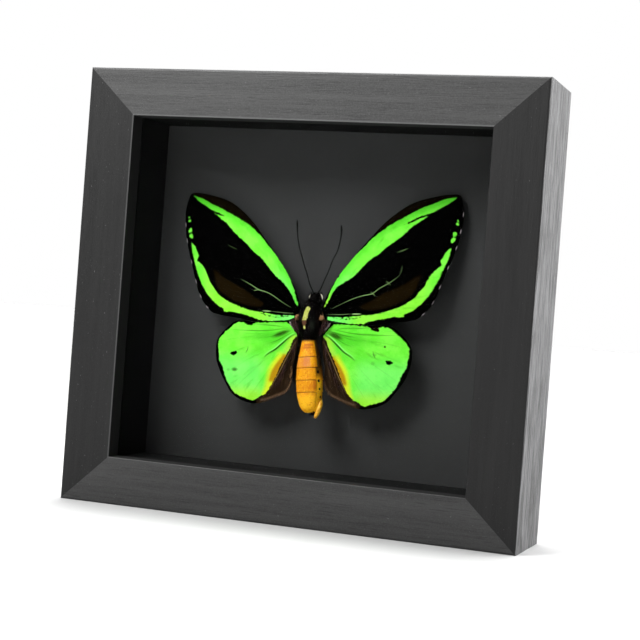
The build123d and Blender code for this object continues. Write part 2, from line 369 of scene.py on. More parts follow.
@dataclass(frozen=True)
class StainedWood(Finish):
    """Open-pored wood under a thin black stain, its fibres along one length of moulding."""

    grain: Grain
    # The tone paints light: the one wood is made lighter or darker on each length for the light
    # that length catches.
    painted_light_tone: float = 1.0
    seed: float = 0.0
    gloss: float = 0.3
    # The arris share sets how strong the painted highlight along the sight edge is.
    highlight_share: float = 0.0
    pore: Colour = grey(0.008)
    fleck: Colour = grey(0.147)
    # The rubbed colour is the colour of that painted highlight on the sight edge.
    rub_and_highlight: Colour = (0.095, 0.096, 0.096)
    # The streak colour is pale enough to paint the light on the outer sides as well as their grain.
    streak: Colour = (0.112, 0.112, 0.116)
    # The shaded colour is painted shade on the faces that look into the case.
    shaded: Colour = grey(0.003)

    def sides(self, graph: Graph) -> tuple[Socket, Socket]:
        """Tells the moulding's outer sides from the ones that look into the case.

        Args:
            graph: The material's tree.

        Returns:
            How much a place is on an outer side, and how much on an inner one.
        """
        source = graph.add("ShaderNodeTexCoord")
        outward = graph.add("ShaderNodeVectorMath", operation="DOT_PRODUCT")
        at = graph.scaled(source.outputs["Object"], (1, 1, 1), CASE_MIDDLE)
        graph.join(at, outward.inputs[0])
        graph.join(source.outputs["Normal"], outward.inputs[1])
        reach = outward.outputs["Value"]
        return graph.span(reach, *OUTER_SIDE), graph.span(reach, *INNER_SIDE)

    def arris_highlight(self, graph: Graph, colour: object) -> Socket:
        """Lays a painted highlight in a line along the sight edge.

        Args:
            graph: The material's tree.
            colour: The colour so far.

        Returns:
            The colour with it.
        """
        apart = graph.add("ShaderNodeSeparateXYZ")
        at = graph.scaled(graph.add("ShaderNodeTexCoord").outputs["Object"], (1, 1, 1), CASE_MIDDLE)
        graph.join(at, apart.inputs[0])
        across, sight = (2, SIGHT_HIGH) if self.grain is Grain.LEVEL else (0, SIGHT_WIDE)
        from_edge = graph.math("SUBTRACT", graph.math("ABSOLUTE", apart.outputs[across]), sight / 2)
        line = graph.span(from_edge, 0.9 * MM, 0.3 * MM, 0.0, self.highlight_share)
        return graph.blend(line, colour, self.rub_and_highlight)

    def side_streaks_and_light(self, graph: Graph, outer: Socket, colour: object) -> Socket:
        """Lays bolder pale streaks on the outer sides: their grain, made pale enough to paint the
        light these sides catch as well.

        Args:
            graph: The material's tree.
            outer: How much a place is on an outer side.
            colour: The colour so far.

        Returns:
            The colour with them.
        """
        wide = [(0.045, 0.55, 0.55)[a] for a in self.grain.value]
        thin = [(0.09, 1.7, 1.7)[a] for a in self.grain.value]
        bold = graph.noise(graph.place(wide, (self.seed, 5.0, self.seed)), 1.0, 4.0, 0.6)
        fine = graph.noise(graph.place(thin, (5.0, self.seed, self.seed)), 1.0, 3.0, 0.6)
        drawn = graph.plus(graph.times(bold, 0.6), graph.times(fine, 0.4))
        # Partly painted light: the pale streaks brighten the outer sides as well as showing their
        # grain.
        pale = graph.times(outer, graph.span(drawn, 0.43, 0.59))
        return graph.blend(pale, colour, self.streak)

    def lay(self, graph: Graph) -> None:
        """Lays growth bands, pores, pale flecks and the satin of the stain, in a tone that paints
        the light this length catches, with painted shade on the faces inside the case.

        Args:
            graph: The material's tree.
        """
        axes = self.grain.value
        along = [(0.012, 0.30, 0.30)[a] for a in axes]
        fine = [(0.10, 2.0, 2.0)[a] for a in axes]
        speck = [(0.5, 1.2, 1.2)[a] for a in axes]
        shift = (self.seed, 2 * self.seed, 3 * self.seed)
        bands = graph.noise(graph.place(along, shift), 1.0, 3.0, 0.6)
        pores = graph.noise(graph.place(fine, shift), 1.0, 3.0, 0.6)
        tooth = graph.noise(graph.place((1, 1, 1), shift), 1.6, 3.0, 0.7)
        flecks = graph.noise(graph.place(speck, shift), 1.6, 2.0, 0.5)
        dark = tuple(0.020 * self.painted_light_tone * c for c in (1.0, 1.0, 0.99))
        light = tuple(0.034 * self.painted_light_tone * c for c in (1.0, 1.0, 0.99))
        colour = graph.blend(graph.span(bands, 0.30, 0.72), dark, light)
        rub_and_highlight = graph.span(tooth, 0.40, 0.66, 0.0, 0.5)
        colour = graph.blend(rub_and_highlight, colour, grey(0.045 * self.painted_light_tone))
        colour = graph.blend(graph.span(pores, 0.44, 0.30, 0.0, 0.55), colour, self.pore)
        colour = graph.blend(graph.span(flecks, 0.70, 0.80, 0.0, 0.7), colour, self.fleck)
        outer, inner = self.sides(graph)
        colour = self.side_streaks_and_light(graph, outer, self.arris_highlight(graph, colour))
        # Painted shade: the faces that look into the case are made nearly black.
        colour = graph.blend(graph.times(inner, 0.95), colour, self.shaded)
        roughness = graph.math("MAXIMUM", graph.span(pores, 0.30, 0.65, 0.60, 0.40), inner)
        graph.paint(colour, roughness, Specular_IOR_Level=self.gloss)
        graph.relief(graph.plus(pores, graph.times(tooth, 0.5)), 0.10, 0.7)


@dataclass(frozen=True)
class BlackPaper(Finish):
    """Matt black paper on the board and on the lining strips."""

    pale: float
    gloss: float = 0.2

    def lay(self, graph: Graph) -> None:
        """Lays a soft fibre mottle with a few stray pale fibres.

        Args:
            graph: The material's tree.
        """
        mottle = graph.noise(graph.place((0.02, 0.02, 0.02)), 1.0, 3.0)
        tooth = graph.noise(graph.place((1, 1, 1)), 3.2, 2.0)
        lint = graph.noise(graph.place((0.9, 0.9, 0.35)), 2.2, 1.0)
        bluish = (self.pale, self.pale, 1.03 * self.pale)
        base = graph.blend(graph.span(mottle, 0.3, 0.7), grey(0.85 * self.pale), bluish)
        colour = graph.blend(graph.span(tooth, 0.25, 0.75, 0.0, 0.35), base, grey(1.5 * self.pale))
        colour = graph.blend(graph.span(lint, 0.78, 0.84, 0.0, 0.5), colour, grey(4 * self.pale))
        graph.paint(colour, 0.92, Specular_IOR_Level=self.gloss)
        graph.relief(tooth, 0.05, 0.5)


@dataclass(frozen=True)
class LowReflectionGlass(Finish):
    """Clear glass with an anti-reflection coat, which lamps shine through."""

    def lay(self, graph: Graph) -> None:
        """Lays clear glass, with faint smears in its coat.

        Args:
            graph: The material's tree.
        """
        smears = graph.noise(graph.place((0.03, 0.03, 0.05)), 1.0, 3.0)
        roughness = graph.span(smears, 0.45, 0.75, 0.0, 0.02)
        graph.paint((0.985, 0.995, 0.99), roughness, IOR=1.04, Transmission_Weight=1.0)
        clear = graph.add("ShaderNodeBsdfTransparent")
        clear.inputs[0].default_value = (0.97, 0.98, 0.975, 1.0)
        path = graph.add("ShaderNodeLightPath")
        lamps = graph.math("MAXIMUM", path.outputs["Is Shadow Ray"], path.outputs["Is Diffuse Ray"])
        either = graph.add("ShaderNodeMixShader")
        graph.join(lamps, either.inputs[0])
        graph.join(graph.shader.outputs[0], either.inputs[1])
        graph.join(clear.outputs[0], either.inputs[2])
        graph.join(either.outputs[0], graph.output.inputs["Surface"])


@dataclass(frozen=True)
class PressedBoard(Finish):
    """Hardboard: brown pressed fibre with a smooth, slightly waxy face."""

    def lay(self, graph: Graph) -> None:
        """Lays fibre flecks over a warm brown ground.

        Args:
            graph: The material's tree.
        """
        cloud = graph.noise(graph.place((0.06, 0.06, 0.06)), 1.0, 4.0)
        fibre = graph.noise(graph.place((0.5, 0.5, 1.3)), 1.5, 4.0, 0.7)
        cross = graph.noise(graph.place((1.5, 0.5, 0.4), (7, 3, 5)), 1.5, 3.0, 0.7)
        colour = graph.blend(graph.span(cloud, 0.3, 0.7), rgb(131, 92, 60), rgb(143, 102, 67))
        colour = graph.blend(graph.span(fibre, 0.55, 0.72, 0.0, 0.75), colour, rgb(78, 50, 30))
        colour = graph.blend(graph.span(cross, 0.60, 0.74, 0.0, 0.6), colour, rgb(176, 138, 98))
        graph.paint(colour, graph.span(fibre, 0.3, 0.7, 0.42, 0.6))
        graph.relief(fibre, 0.06, 0.5)


@dataclass(frozen=True)
class SheetMetal(Finish):
    """Plated or rolled metal, with the scratches and dull spots of cheap hardware."""

    bright: Colour
    dull: Colour
    smooth: float

    def lay(self, graph: Graph) -> None:
        """Lays mottled plating with hairline scratches.

        Args:
            graph: The material's tree.
        """
        bloom = graph.noise(graph.place((0.5, 0.5, 0.5)), 1.0, 4.0, 0.6)
        hair = graph.noise(graph.place((0.25, 3.0, 9.0)), 1.0, 2.0, 0.6)
        colour = graph.blend(graph.span(bloom, 0.35, 0.7), self.bright, self.dull)
        worn = graph.span(bloom, 0.35, 0.7, self.smooth, self.smooth + 0.16)
        rough = graph.plus(worn, graph.span(hair, 0.55, 0.7, 0.0, 0.1))
        graph.paint(colour, rough, Metallic=1.0)
        graph.relief(hair, 0.02, 0.35)


@dataclass(frozen=True)
class Cork(Finish):
    """Fine agglomerated cork."""

    def lay(self, graph: Graph) -> None:
        """Lays granules with dark joints.

        Args:
            graph: The material's tree.
        """
        grains = graph.cells(graph.place((1, 1, 1)), 1.3)
        tint = graph.noise(graph.place((1, 1, 1)), 0.8, 2.0)
        colour = graph.blend(graph.span(tint, 0.3, 0.7), rgb(168, 122, 78), rgb(200, 158, 108))
        colour = graph.blend(graph.span(grains, 0.45, 0.75, 0.0, 0.8), colour, rgb(84, 54, 32))
        graph.paint(colour, 0.85)
        graph.relief(grains, 0.25, 0.7)


@dataclass(frozen=True)
class WingScales(Finish):
    """Butterfly scales: luminous green fields edged by velvet black.

    The mesh holds each point's distance in millimetres to the edge of the green (edge), its
    place on the wing (local, and ray from the root), and the strength of each tint and line.
    """

    seed: float = 0.0

    def green(self, graph: Graph, streak: Socket, rows: Socket) -> Socket:
        """Mixes the green from its tints.

        Args:
            graph: The material's tree.
            streak: Noise drawn out along the veins.
            rows: Noise as fine as the rows of scales.

        Returns:
            The colour of the green fields.
        """
        local = graph.attribute("local", vector=True)
        cloud = graph.noise(graph.scaled(local, (1, 1, 1), (self.seed, self.seed, 0)), 0.16, 3.0)
        colour = graph.blend(graph.span(cloud, 0.32, 0.68), rgb(98, 220, 50), rgb(120, 231, 70))
        colour = graph.blend(graph.attribute("cool"), colour, rgb(116, 236, 132))
        colour = graph.blend(graph.attribute("deep"), colour, rgb(78, 196, 40))
        colour = graph.blend(graph.attribute("yellow"), colour, rgb(206, 214, 36))
        colour = graph.blend(graph.attribute("gold"), colour, rgb(170, 126, 16))
        colour = graph.blend(graph.span(streak, 0.54, 0.74, 0.0, 0.42), colour, rgb(58, 164, 26))
        colour = graph.blend(graph.span(rows, 0.58, 0.76, 0.0, 0.38), colour, rgb(56, 150, 30))
        colour = graph.blend(graph.span(rows, 0.40, 0.24, 0.0, 0.28), colour, rgb(176, 244, 140))
        return graph.blend(graph.attribute("smudge"), colour, rgb(36, 74, 14))

    def velvet(self, graph: Graph, streak: Socket) -> Socket:
        """Mixes the black from its browns.

        Args:
            graph: The material's tree.
            streak: Noise drawn out along the veins.

        Returns:
            The colour of the dark fields.
        """
        colour = graph.blend(graph.attribute("brown"), rgb(1, 1, 1), rgb(19, 12, 3))
        colour = graph.blend(graph.attribute("fold"), colour, rgb(32, 22, 13))
        hairy = graph.times(graph.attribute("fold"), graph.span(streak, 0.50, 0.68, 0.0, 0.7))
        colour = graph.blend(hairy, colour, rgb(68, 50, 36))
        return graph.blend(graph.attribute("rust"), colour, rgb(78, 58, 43))

    def lay(self, graph: Graph) -> None:
        """Lays the green and the black with a feathered edge, then the fine lines on them.

        Args:
            graph: The material's tree.
        """
        shift = (self.seed, self.seed, 0)
        local = graph.attribute("local", vector=True)
        ray = graph.attribute("ray", vector=True)
        streak = graph.noise(graph.scaled(ray, (0.10, 14.0, 1.0), shift), 1.0, 3.0, 0.6)
        rows = graph.noise(graph.scaled(local, (1, 1, 1), shift), 2.4, 2.0, 0.6)
        fray = graph.noise(graph.scaled(local, (1, 1, 1), shift), 0.85, 3.0, 0.6)
        ragged = graph.times(graph.math("SUBTRACT", fray, 0.5), 1.7)
        shown = graph.span(graph.plus(graph.attribute("edge"), ragged), -0.16, 0.20)
        colour = graph.blend(shown, self.velvet(graph, streak), self.green(graph, streak, rows))
        for line, tint in LINE_TINTS.items():
            colour = graph.blend(graph.attribute(line.value), colour, tint)
        graph.paint(colour, graph.span(rows, 0.3, 0.7, 0.6, 0.8), Specular_IOR_Level=0.0)
        graph.relief(graph.plus(streak, rows), 0.10, 0.5)


@dataclass(frozen=True)
class Flat(Finish):
    """A small detail of nearly one colour, with a fine mottle."""

    dark: Colour
    light: Colour
    roughness: float = 0.6
    size_mm: float = 0.6
    gloss: float = 0.1

    def lay(self, graph: Graph) -> None:
        """Lays a mottle between the two colours.

        Args:
            graph: The material's tree.
        """
        mottle = graph.noise(graph.place((1, 1, 1)), 1 / self.size_mm, 3.0)
        colour = graph.blend(graph.span(mottle, 0.3, 0.7), self.dark, self.light)
        graph.paint(colour, self.roughness, Specular_IOR_Level=self.gloss)
        graph.relief(mottle, 0.08, 0.4)


@dataclass(frozen=True)
class ThoraxSkin(Finish):
    """Black furred thorax with one pale yellow-green stripe."""

    def lay(self, graph: Graph) -> None:
        """Lays the stripe over the black, by the distances that the mesh holds.

        Args:
            graph: The material's tree.
        """
        fuzz = graph.noise(graph.place((1, 1, 1)), 1.6, 3.0)
        ragged = graph.plus(graph.attribute("stripe"), graph.math("SUBTRACT", fuzz, 0.5))
        stripe = graph.blend(graph.span(fuzz, 0.35, 0.65), rgb(150, 158, 60), rgb(190, 192, 108))
        stripe = graph.blend(graph.attribute("dusk"), stripe, rgb(84, 54, 38))
        ground = graph.blend(graph.attribute("sheen"), rgb(2, 1, 1), rgb(34, 37, 31))
        ground = graph.blend(graph.attribute("flank"), ground, rgb(20, 12, 10))
        colour = graph.blend(graph.span(ragged, -0.10, 0.16), ground, stripe)
        graph.paint(colour, graph.span(fuzz, 0.3, 0.7, 0.5, 0.7), Specular_IOR_Level=0.02)
        graph.relief(fuzz, 0.2, 0.6)


@dataclass(frozen=True)
class AbdomenSkin(Finish):
    """Golden abdomen with painted shade at its seams, a painted glow, a peach patch, a dark flank
    and a row of dark dots.
    """

    def lay(self, graph: Graph) -> None:
        """Lays the gold, the painted shade at each seam, the painted glow, the soft side and the
        dots.

        Args:
            graph: The material's tree.
        """
        wide = graph.noise(graph.place((1, 1, 1)), 0.24, 3.0)
        fine = graph.noise(graph.place((1, 1, 2.2)), 1.1, 4.0, 0.65)
        pleat = graph.noise(graph.place((3.0, 3.0, 0.35)), 0.8, 2.0)
        colour = graph.blend(graph.span(wide, 0.32, 0.68), rgb(206, 124, 6), rgb(222, 154, 12))
        # Painted light: brighter gold where the mesh holds its glow value.
        colour = graph.blend(graph.attribute("painted_glow"), colour, rgb(252, 190, 28))
        colour = graph.blend(graph.span(fine, 0.50, 0.68, 0.0, 0.6), colour, rgb(188, 92, 8))
        colour = graph.blend(graph.span(pleat, 0.56, 0.70, 0.0, 0.55), colour, rgb(246, 202, 52))
        rosy = graph.times(graph.attribute("peach"), graph.span(fine, 0.62, 0.42, 0.35, 1.0))
        colour = graph.blend(rosy, colour, rgb(196, 120, 72))
        colour = graph.blend(graph.attribute("amber"), colour, rgb(176, 92, 14))
        colour = graph.blend(graph.attribute("dull"), colour, rgb(104, 62, 12))
        seam = graph.plus(graph.attribute("seam"), graph.times(fine, 0.25))
        # Painted shade at each seam and along the ends of the plates.
        colour = graph.blend(graph.span(seam, 0.42, 0.14, 0.0, 0.9), colour, rgb(96, 44, 8))
        colour = graph.blend(graph.attribute("flank"), colour, rgb(34, 20, 10))
        colour = graph.blend(graph.span(graph.attribute("dot"), 0.14, -0.14), colour, rgb(16, 9, 4))
        roughness = graph.span(fine, 0.3, 0.7, 0.42, 0.58)
        graph.paint(colour, roughness, Subsurface_Weight=0.35, Specular_IOR_Level=0.12)
        graph.shader.inputs["Subsurface Radius"].default_value = (0.004, 0.002, 0.0008)
        graph.relief(fine, 0.18, 0.6)


@dataclass(frozen=True)
class CompoundEye(Finish):
    """Glossy dark brown eye with fine facets."""

    def lay(self, graph: Graph) -> None:
        """Lays the facets.

        Args:
            graph: The material's tree.
        """
        facets = graph.cells(graph.place((1, 1, 1)), 7.0)
        colour = graph.blend(graph.span(facets, 0.2, 0.7), rgb(40, 26, 20), rgb(12, 8, 8))
        graph.paint(colour, 0.16, Coat_Weight=0.5)
        graph.relief(facets, 0.03, 0.5)


# Lit and shaded copies of one stain: each length's tone paints the light it catches, lighter on the
# rails and darker on the stiles.
STAIN_LEVEL_TOP = StainedWood(
    "stained_wood_top", "stained_wood", Grain.LEVEL, painted_light_tone=1.25, seed=3.1, highlight_share=1.0
)
STAIN_LEVEL_BOTTOM = StainedWood(
    "stained_wood_bottom", "stained_wood", Grain.LEVEL, painted_light_tone=1.05, seed=11.7
)
STAIN_UPRIGHT_LEFT = StainedWood(
    "stained_wood_left", "stained_wood", Grain.UPRIGHT, painted_light_tone=0.29, seed=23.9, gloss=0.22, highlight_share=0.6
)
STAIN_UPRIGHT_RIGHT = StainedWood(
    "stained_wood_right", "stained_wood", Grain.UPRIGHT, painted_light_tone=0.29, seed=31.3, gloss=0.21
)
BOARD_PAPER = BlackPaper("matt_board_paper", "mat_board", pale=0.0373, gloss=0.1)
# The lining's paper is made darker than the board's, as painted shade on the walls inside the case.
SHADED_LINING_PAPER = BlackPaper("lining_paper_painted_shade", "lining", pale=0.008, gloss=0.02)
PANE_GLASS = LowReflectionGlass("pane_glass", "window_glass")
HARDBOARD = PressedBoard("hardboard_face", "hardboard")
ZINC = SheetMetal(
    "zinc_plate", "plated_steel", bright=(0.56, 0.57, 0.58), dull=(0.38, 0.38, 0.37), smooth=0.32
)
BRASS = SheetMetal(
    "rolled_brass", "brass_plate", bright=(0.70, 0.51, 0.24), dull=(0.50, 0.34, 0.15), smooth=0.26
)
CORK = Cork("fine_cork", "cork")
THORAX_SKIN = ThoraxSkin("thorax_skin", "body_black")
ABDOMEN_SKIN = AbdomenSkin("abdomen_skin", "abdomen_gold")
EYE = CompoundEye("compound_eye", "eye_brown")

# Small details: dark and light tone, roughness, size of the mottle in millimetres, and gloss.
HAIR_BLACK = Flat("hair_black", "body_black", rgb(2, 1, 1), rgb(8, 6, 6), 0.7, 0.3, 0.02)
HAIR_UMBER = Flat("hair_umber", "body_black", rgb(40, 26, 27), rgb(96, 66, 66), 0.7, 0.3, 0.05)
HAIR_RUST = Flat("hair_rust", "body_black", rgb(116, 76, 46), rgb(222, 170, 120), 0.7, 0.3, 0.05)
HAIR_TAN = Flat("hair_tan", "body_black", rgb(64, 46, 32), rgb(124, 98, 74), 0.7, 0.3, 0.05)
HAIR_PALE = Flat("hair_pale", "body_black", rgb(96, 80, 84), rgb(190, 172, 172), 0.6, 0.3)
# The pale crescents on the eyes are painted highlights.
EYE_HIGHLIGHT_WHITE = Flat("eye_highlight_white", "body_black", rgb(150, 140, 124), rgb(232, 228, 208), 0.6, 0.3)
HEAD_SKIN = Flat("head_skin", "body_black", rgb(2, 1, 1), rgb(5, 4, 4), 0.7, 0.5, 0.02)
HORN = Flat("antenna_horn", "body_black", rgb(2, 2, 2), rgb(7, 5, 5), 0.5, 0.5, 0.05)
CLASPER_SKIN = Flat(
    "clasper_skin", "abdomen_gold", rgb(196, 122, 14), rgb(240, 190, 56), 0.45, 0.9, 0.3
)

# The colour of each kind of line on a wing; crease is painted shade, sheen a painted highlight.
LINE_TINTS = {
    Line.CREASE: rgb(14, 48, 8),
    Line.SHEEN: rgb(150, 240, 134),
    Line.VEIN: rgb(150, 190, 118),
    Line.PIN: rgb(146, 120, 76),
    Line.FRINGE: rgb(196, 180, 188),
}


# ---- drawing helpers


def smooth(points: Sequence[Point], step: float = 0.5) -> np.ndarray:
    """Draws a smooth curve through points, with a corner at each end.

    Args:
        points: The points, in order.
        step: The spacing along the curve.

    Returns:
        The curve's points, with the first and last kept.
    """
    knots = np.array(points, float)
    padded = np.vstack([2 * knots[0] - knots[1], knots, 2 * knots[-1] - knots[-2]])
    drawn = [knots[:1]]
    for i in range(len(knots) - 1):
        p0, p1, p2, p3 = padded[i:i + 4]
        count = max(2, math.ceil(np.linalg.norm(p2 - p1) / step))
        t = np.linspace(0, 1, count + 1)[1:, None]
        drawn.append(
            0.5 * (
                2 * p1 + (p2 - p0) * t + (2 * p0 - 5 * p1 + 4 * p2 - p3) * t ** 2
                + (3 * p1 - p0 - 3 * p2 + p3) * t ** 3
            )
        )
    return np.vstack(drawn)


def closed(spans: Iterable[Sequence[Point]], step: float = 0.5) -> np.ndarray:
    """Joins smooth spans, each of which starts where the last ends, into a loop.

    Args:
        spans: The spans. The last one ends at the loop's first point, or a straight run
            closes the loop.
        step: The spacing along them.

    Returns:
        The loop's points, the first not repeated.
    """
    loop = np.vstack([smooth(span, step)[:-1] for span in spans])
    last = np.array(list(spans)[-1][-1], float)
    if np.linalg.norm(last - loop[0]) > step / 2:
        loop = np.vstack([loop, last])
    return loop


def blob(centre: Point, size: Point, lean_deg: float = 0.0, wobble: float = 0.08) -> np.ndarray:
    """Draws a rounded spot.

    Args:
        centre: Its middle.
        size: Its full width and height.
        lean_deg: How far it leans.
        wobble: How uneven its edge is, as a share of its size.

    Returns:
        The points of its edge.
    """
    turn = np.linspace(0, 2 * math.pi, 24, endpoint=False)
    reach = 0.5 * (
        1 + wobble * np.sin(3 * turn + centre[0]) + wobble * np.cos(2 * turn + centre[1])
    )
    x, y = size[0] * reach * np.cos(turn), size[1] * reach * np.sin(turn)
    lean = math.radians(lean_deg)
    return np.column_stack([
        centre[0] + x * math.cos(lean) - y * math.sin(lean),
        centre[1] + x * math.sin(lean) + y * math.cos(lean),
    ])


def line_distance(points: np.ndarray, line: np.ndarray, loop: bool = False) -> np.ndarray:
    """Measures how far points are from a line.

    Args:
        points: The points.
        line: The line's points.
        loop: Whether the line closes on itself.

    Returns:
        The distances.
    """
    ends = np.roll(line, -1, axis=0) if loop else line[1:]
    starts = line if loop else line[:-1]
    least = np.full(len(points), np.inf)
    for a, b in zip(starts, ends):
        run = b - a
        share = np.clip((points - a) @ run / max(run @ run, 1e-12), 0, 1)
        least = np.minimum(least, np.linalg.norm(points - a - share[:, None] * run, axis=1))
    return least


def inside(points: np.ndarray, loop: np.ndarray) -> np.ndarray:
    """Says which points a loop encloses.

    Args:
        points: The points.
        loop: The loop's points.

    Returns:
        True for each point inside.
    """
    odd = np.zeros(len(points), bool)
    x, y = points[:, 0], points[:, 1]
    for (ax, ay), (bx, by) in zip(loop, np.roll(loop, -1, axis=0)):
        crossing = (ay > y) != (by > y)
        odd ^= crossing & (x < (bx - ax) * (y - ay) / (by - ay if by != ay else 1e-12) + ax)
    return odd


def depth_inside(points: np.ndarray, loop: np.ndarray) -> np.ndarray:
    """Measures how far inside a loop points are, less than 0 outside."""
    distance = line_distance(points, loop, loop=True)
    return np.where(inside(points, loop), distance, -distance)


def beside(points: np.ndarray, line: Sequence[Point]) -> np.ndarray:
    """Measures how far outward of a falling line points are, less than 0 inward of it."""
    curve = smooth(line)
    return points[:, 0] - np.interp(-points[:, 1], -curve[:, 1], curve[:, 0])


def ease(value: np.ndarray, low: float, high: float) -> np.ndarray:
    """Rises smoothly from 0 at low to 1 at high."""
    t = np.clip((value - low) / (high - low), 0, 1)
    return t * t * (3 - 2 * t)


def window(value: np.ndarray, low: float, high: float, soft: float) -> np.ndarray:
    """Is 1 between low and high, and fades to 0 over a soft distance outside."""
    return ease(value, low - soft, low) * (1 - ease(value, high, high + soft))


def link(thing: Thing) -> None:
    """Adds an object to the scene."""
    bpy.context.scene.collection.objects.link(thing)


class Shape:
    """Points and faces of one piece as it is put together."""

    def __init__(self) -> None:
        """Starts with nothing."""
        self.points: list[Sequence[float]] = []
        self.faces: list[Sequence[int]] = []
        self.slots: list[int] = []
        self.finishes: list[Finish] = []
        self.values: dict[str, dict[int, float]] = {}

    def slot(self, finish: Finish) -> int:
        """Gives the material slot of a finish, which is added if it is new.

        Args:
            finish: The finish.

        Returns:
            The slot's number.
        """
        if finish not in self.finishes:
            self.finishes.append(finish)
        return self.finishes.index(finish)

    def extend(
        self, points: Iterable[Sequence[float]], faces: Iterable[Sequence[int]], finish: Finish
    ) -> int:
        """Adds points and the faces between them.

        Args:
            points: The new points, in metres.
            faces: Faces by the new points' numbers.
            finish: The faces' finish.

        Returns:
            The number that the first new point got.
        """
        base = len(self.points)
        self.points.extend(points)
        self.fill([[base + i for i in face] for face in faces], finish)
        return base

    def fill(self, faces: Sequence[Sequence[int]], finish: Finish) -> None:
        """Adds faces between points that are there already."""
        self.faces.extend(faces)
        self.slots.extend([self.slot(finish)] * len(faces))

    def mark(self, values: dict[str, np.ndarray]) -> None:
        """Gives the first points their values, one for each point."""
        self.values = {key: dict(enumerate(value.tolist())) for key, value in values.items()}

    def piece(self, name: str, stance: Matrix) -> Thing:
        """Makes the object, with its mesh in its final place and its faces shaded smooth.

        Args:
            name: The piece's name.
            stance: Where its points go.

        Returns:
            The object.
        """
        mesh = bpy.data.meshes.new(name)
        mesh.from_pydata([tuple(p) for p in self.points], [], [tuple(f) for f in self.faces])
        mesh.transform(stance)
        for finish in self.finishes:
            mesh.materials.append(finish.material())
        mesh.polygons.foreach_set("material_index", self.slots)
        mesh.polygons.foreach_set("use_smooth", [True] * len(self.faces))
        for key, held in self.values.items():
            layer = mesh.attributes.new(key, "FLOAT", "POINT")
            layer.data.foreach_set("value", [held.get(i, 0.0) for i in range(len(self.points))])
        mesh.validate()
        mesh.update()
        thing = bpy.data.objects.new(name, mesh)
        link(thing)
        return thing


def tube(
    shape: Shape, route: Sequence[Vector], radii: Sequence[float], finish: Finish, sides: int = 8
) -> None:
    """Adds a round tube along a route, closed at both ends.

    Args:
        shape: The piece that gets it.
        route: The middles of its rings.
        radii: The radius of each ring.
        finish: Its finish.
        sides: Points round each ring.
    """
    points, faces = [], []
    normal = Vector((0.31, -0.9, 0.17))
    for i, middle in enumerate(route):
        ahead = (route[min(i + 1, len(route) - 1)] - route[max(i - 1, 0)]).normalized()
        normal = (normal - ahead * normal.dot(ahead)).normalized()
        across = ahead.cross(normal)
        for k in range(sides):
            turn = 2 * math.pi * k / sides
            out = math.cos(turn) * normal + math.sin(turn) * across
            points.append(middle + float(radii[i]) * out)
    for i in range(len(route) - 1):
        for k in range(sides):
            here, nxt = i * sides + k, i * sides + (k + 1) % sides
            faces.append([here, nxt, nxt + sides, here + sides])
    faces.append(list(range(sides))[::-1])
    faces.append([(len(route) - 1) * sides + k for k in range(sides)])
    shape.extend(points, faces, finish)


def hair(
    shape: Shape, root: Vector, way: Vector, length: float, thick: float, finish: Finish
) -> None:
    """Adds one tapered hair that bends a little.

    Args:
        shape: The piece that gets it.
        root: Where it starts.
        way: The direction it starts in.
        length: Its length.
        thick: Its thickness at the root.
        finish: Its finish.
    """
    way = way.normalized()
    side = way.cross(Vector((0.3, 0.2, 0.93))).normalized()
    up = way.cross(side)
    bend = root + 0.55 * length * way
    tip = root + length * (way + 0.25 * side).normalized()
    points = []
    for middle, half in ((root, thick / 2), (bend, 0.35 * thick)):
        for k in range(3):
            turn = 2 * math.pi * k / 3
            points.append(middle + half * (math.cos(turn) * side + math.sin(turn) * up))
    points.append(tip)
    faces = [[k, (k + 1) % 3, 3 + (k + 1) % 3, 3 + k] for k in range(3)]
    faces += [[3 + k, 3 + (k + 1) % 3, 6] for k in range(3)] + [[2, 1, 0]]
    shape.extend(points, faces, finish)


# ---- the case


@dataclass
class Carcase:
    """The four lengths of moulding and the V-nails across their mitres."""

    rails: dict[str, Finish] = field(default_factory=lambda: {
        "frame_top_rail": STAIN_LEVEL_TOP,
        "frame_bottom_rail": STAIN_LEVEL_BOTTOM,
        "frame_left_stile": STAIN_UPRIGHT_LEFT,
        "frame_right_stile": STAIN_UPRIGHT_RIGHT,
    })

    def dress(self, nodes: dict[str, Thing]) -> None:
        """Gives the moulding and its nails their finishes.

        Args:
            nodes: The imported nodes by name.
        """
        for name, finish in self.rails.items():
            dress_node(nodes[name], finish)
        dress_node(nodes["corner_v_nails"], ZINC)


@dataclass
class Glazing:
    """What the rabbet holds: glass, lining, mount board and back panel."""

    linings: Sequence[str] = ("spacer_top", "spacer_bottom", "spacer_left", "spacer_right")

    def dress(self, nodes: dict[str, Thing]) -> None:
        """Gives each sheet and strip its finish.

        Args:
            nodes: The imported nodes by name.
        """
        dress_node(nodes["glass_pane"], PANE_GLASS)
        dress_node(nodes["mount_board"], BOARD_PAPER)
        dress_node(nodes["back_panel"], HARDBOARD)
        for name in self.linings:
            dress_node(nodes[name], SHADED_LINING_PAPER)


@dataclass
class BackFittings:
    """Turn buttons, their screws, the sawtooth hanger and its nails."""

    buttons: Sequence[str] = (
        "turn_button_upper_left", "turn_button_upper_right",
        "turn_button_lower_left", "turn_button_lower_right",
    )
    steel: Sequence[str] = ("turn_button_screws", "sawtooth_hanger", "hanger_nails")

    def dress(self, nodes: dict[str, Thing]) -> None:
        """Gives the hardware its finishes.

        Args:
            nodes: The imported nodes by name.
        """
        for name in self.buttons:
            dress_node(nodes[name], BRASS)
        for name in self.steel:
            dress_node(nodes[name], ZINC)


def dress_node(node: Thing, finish: Finish) -> None:
    """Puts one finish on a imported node.

    Args:
        node: The node's object.
        finish: The finish.
    """
    node.data.materials.clear()
    node.data.materials.append(finish.material())
    log.info("%s: %s", node.name, finish.name)


# ---- the specimen

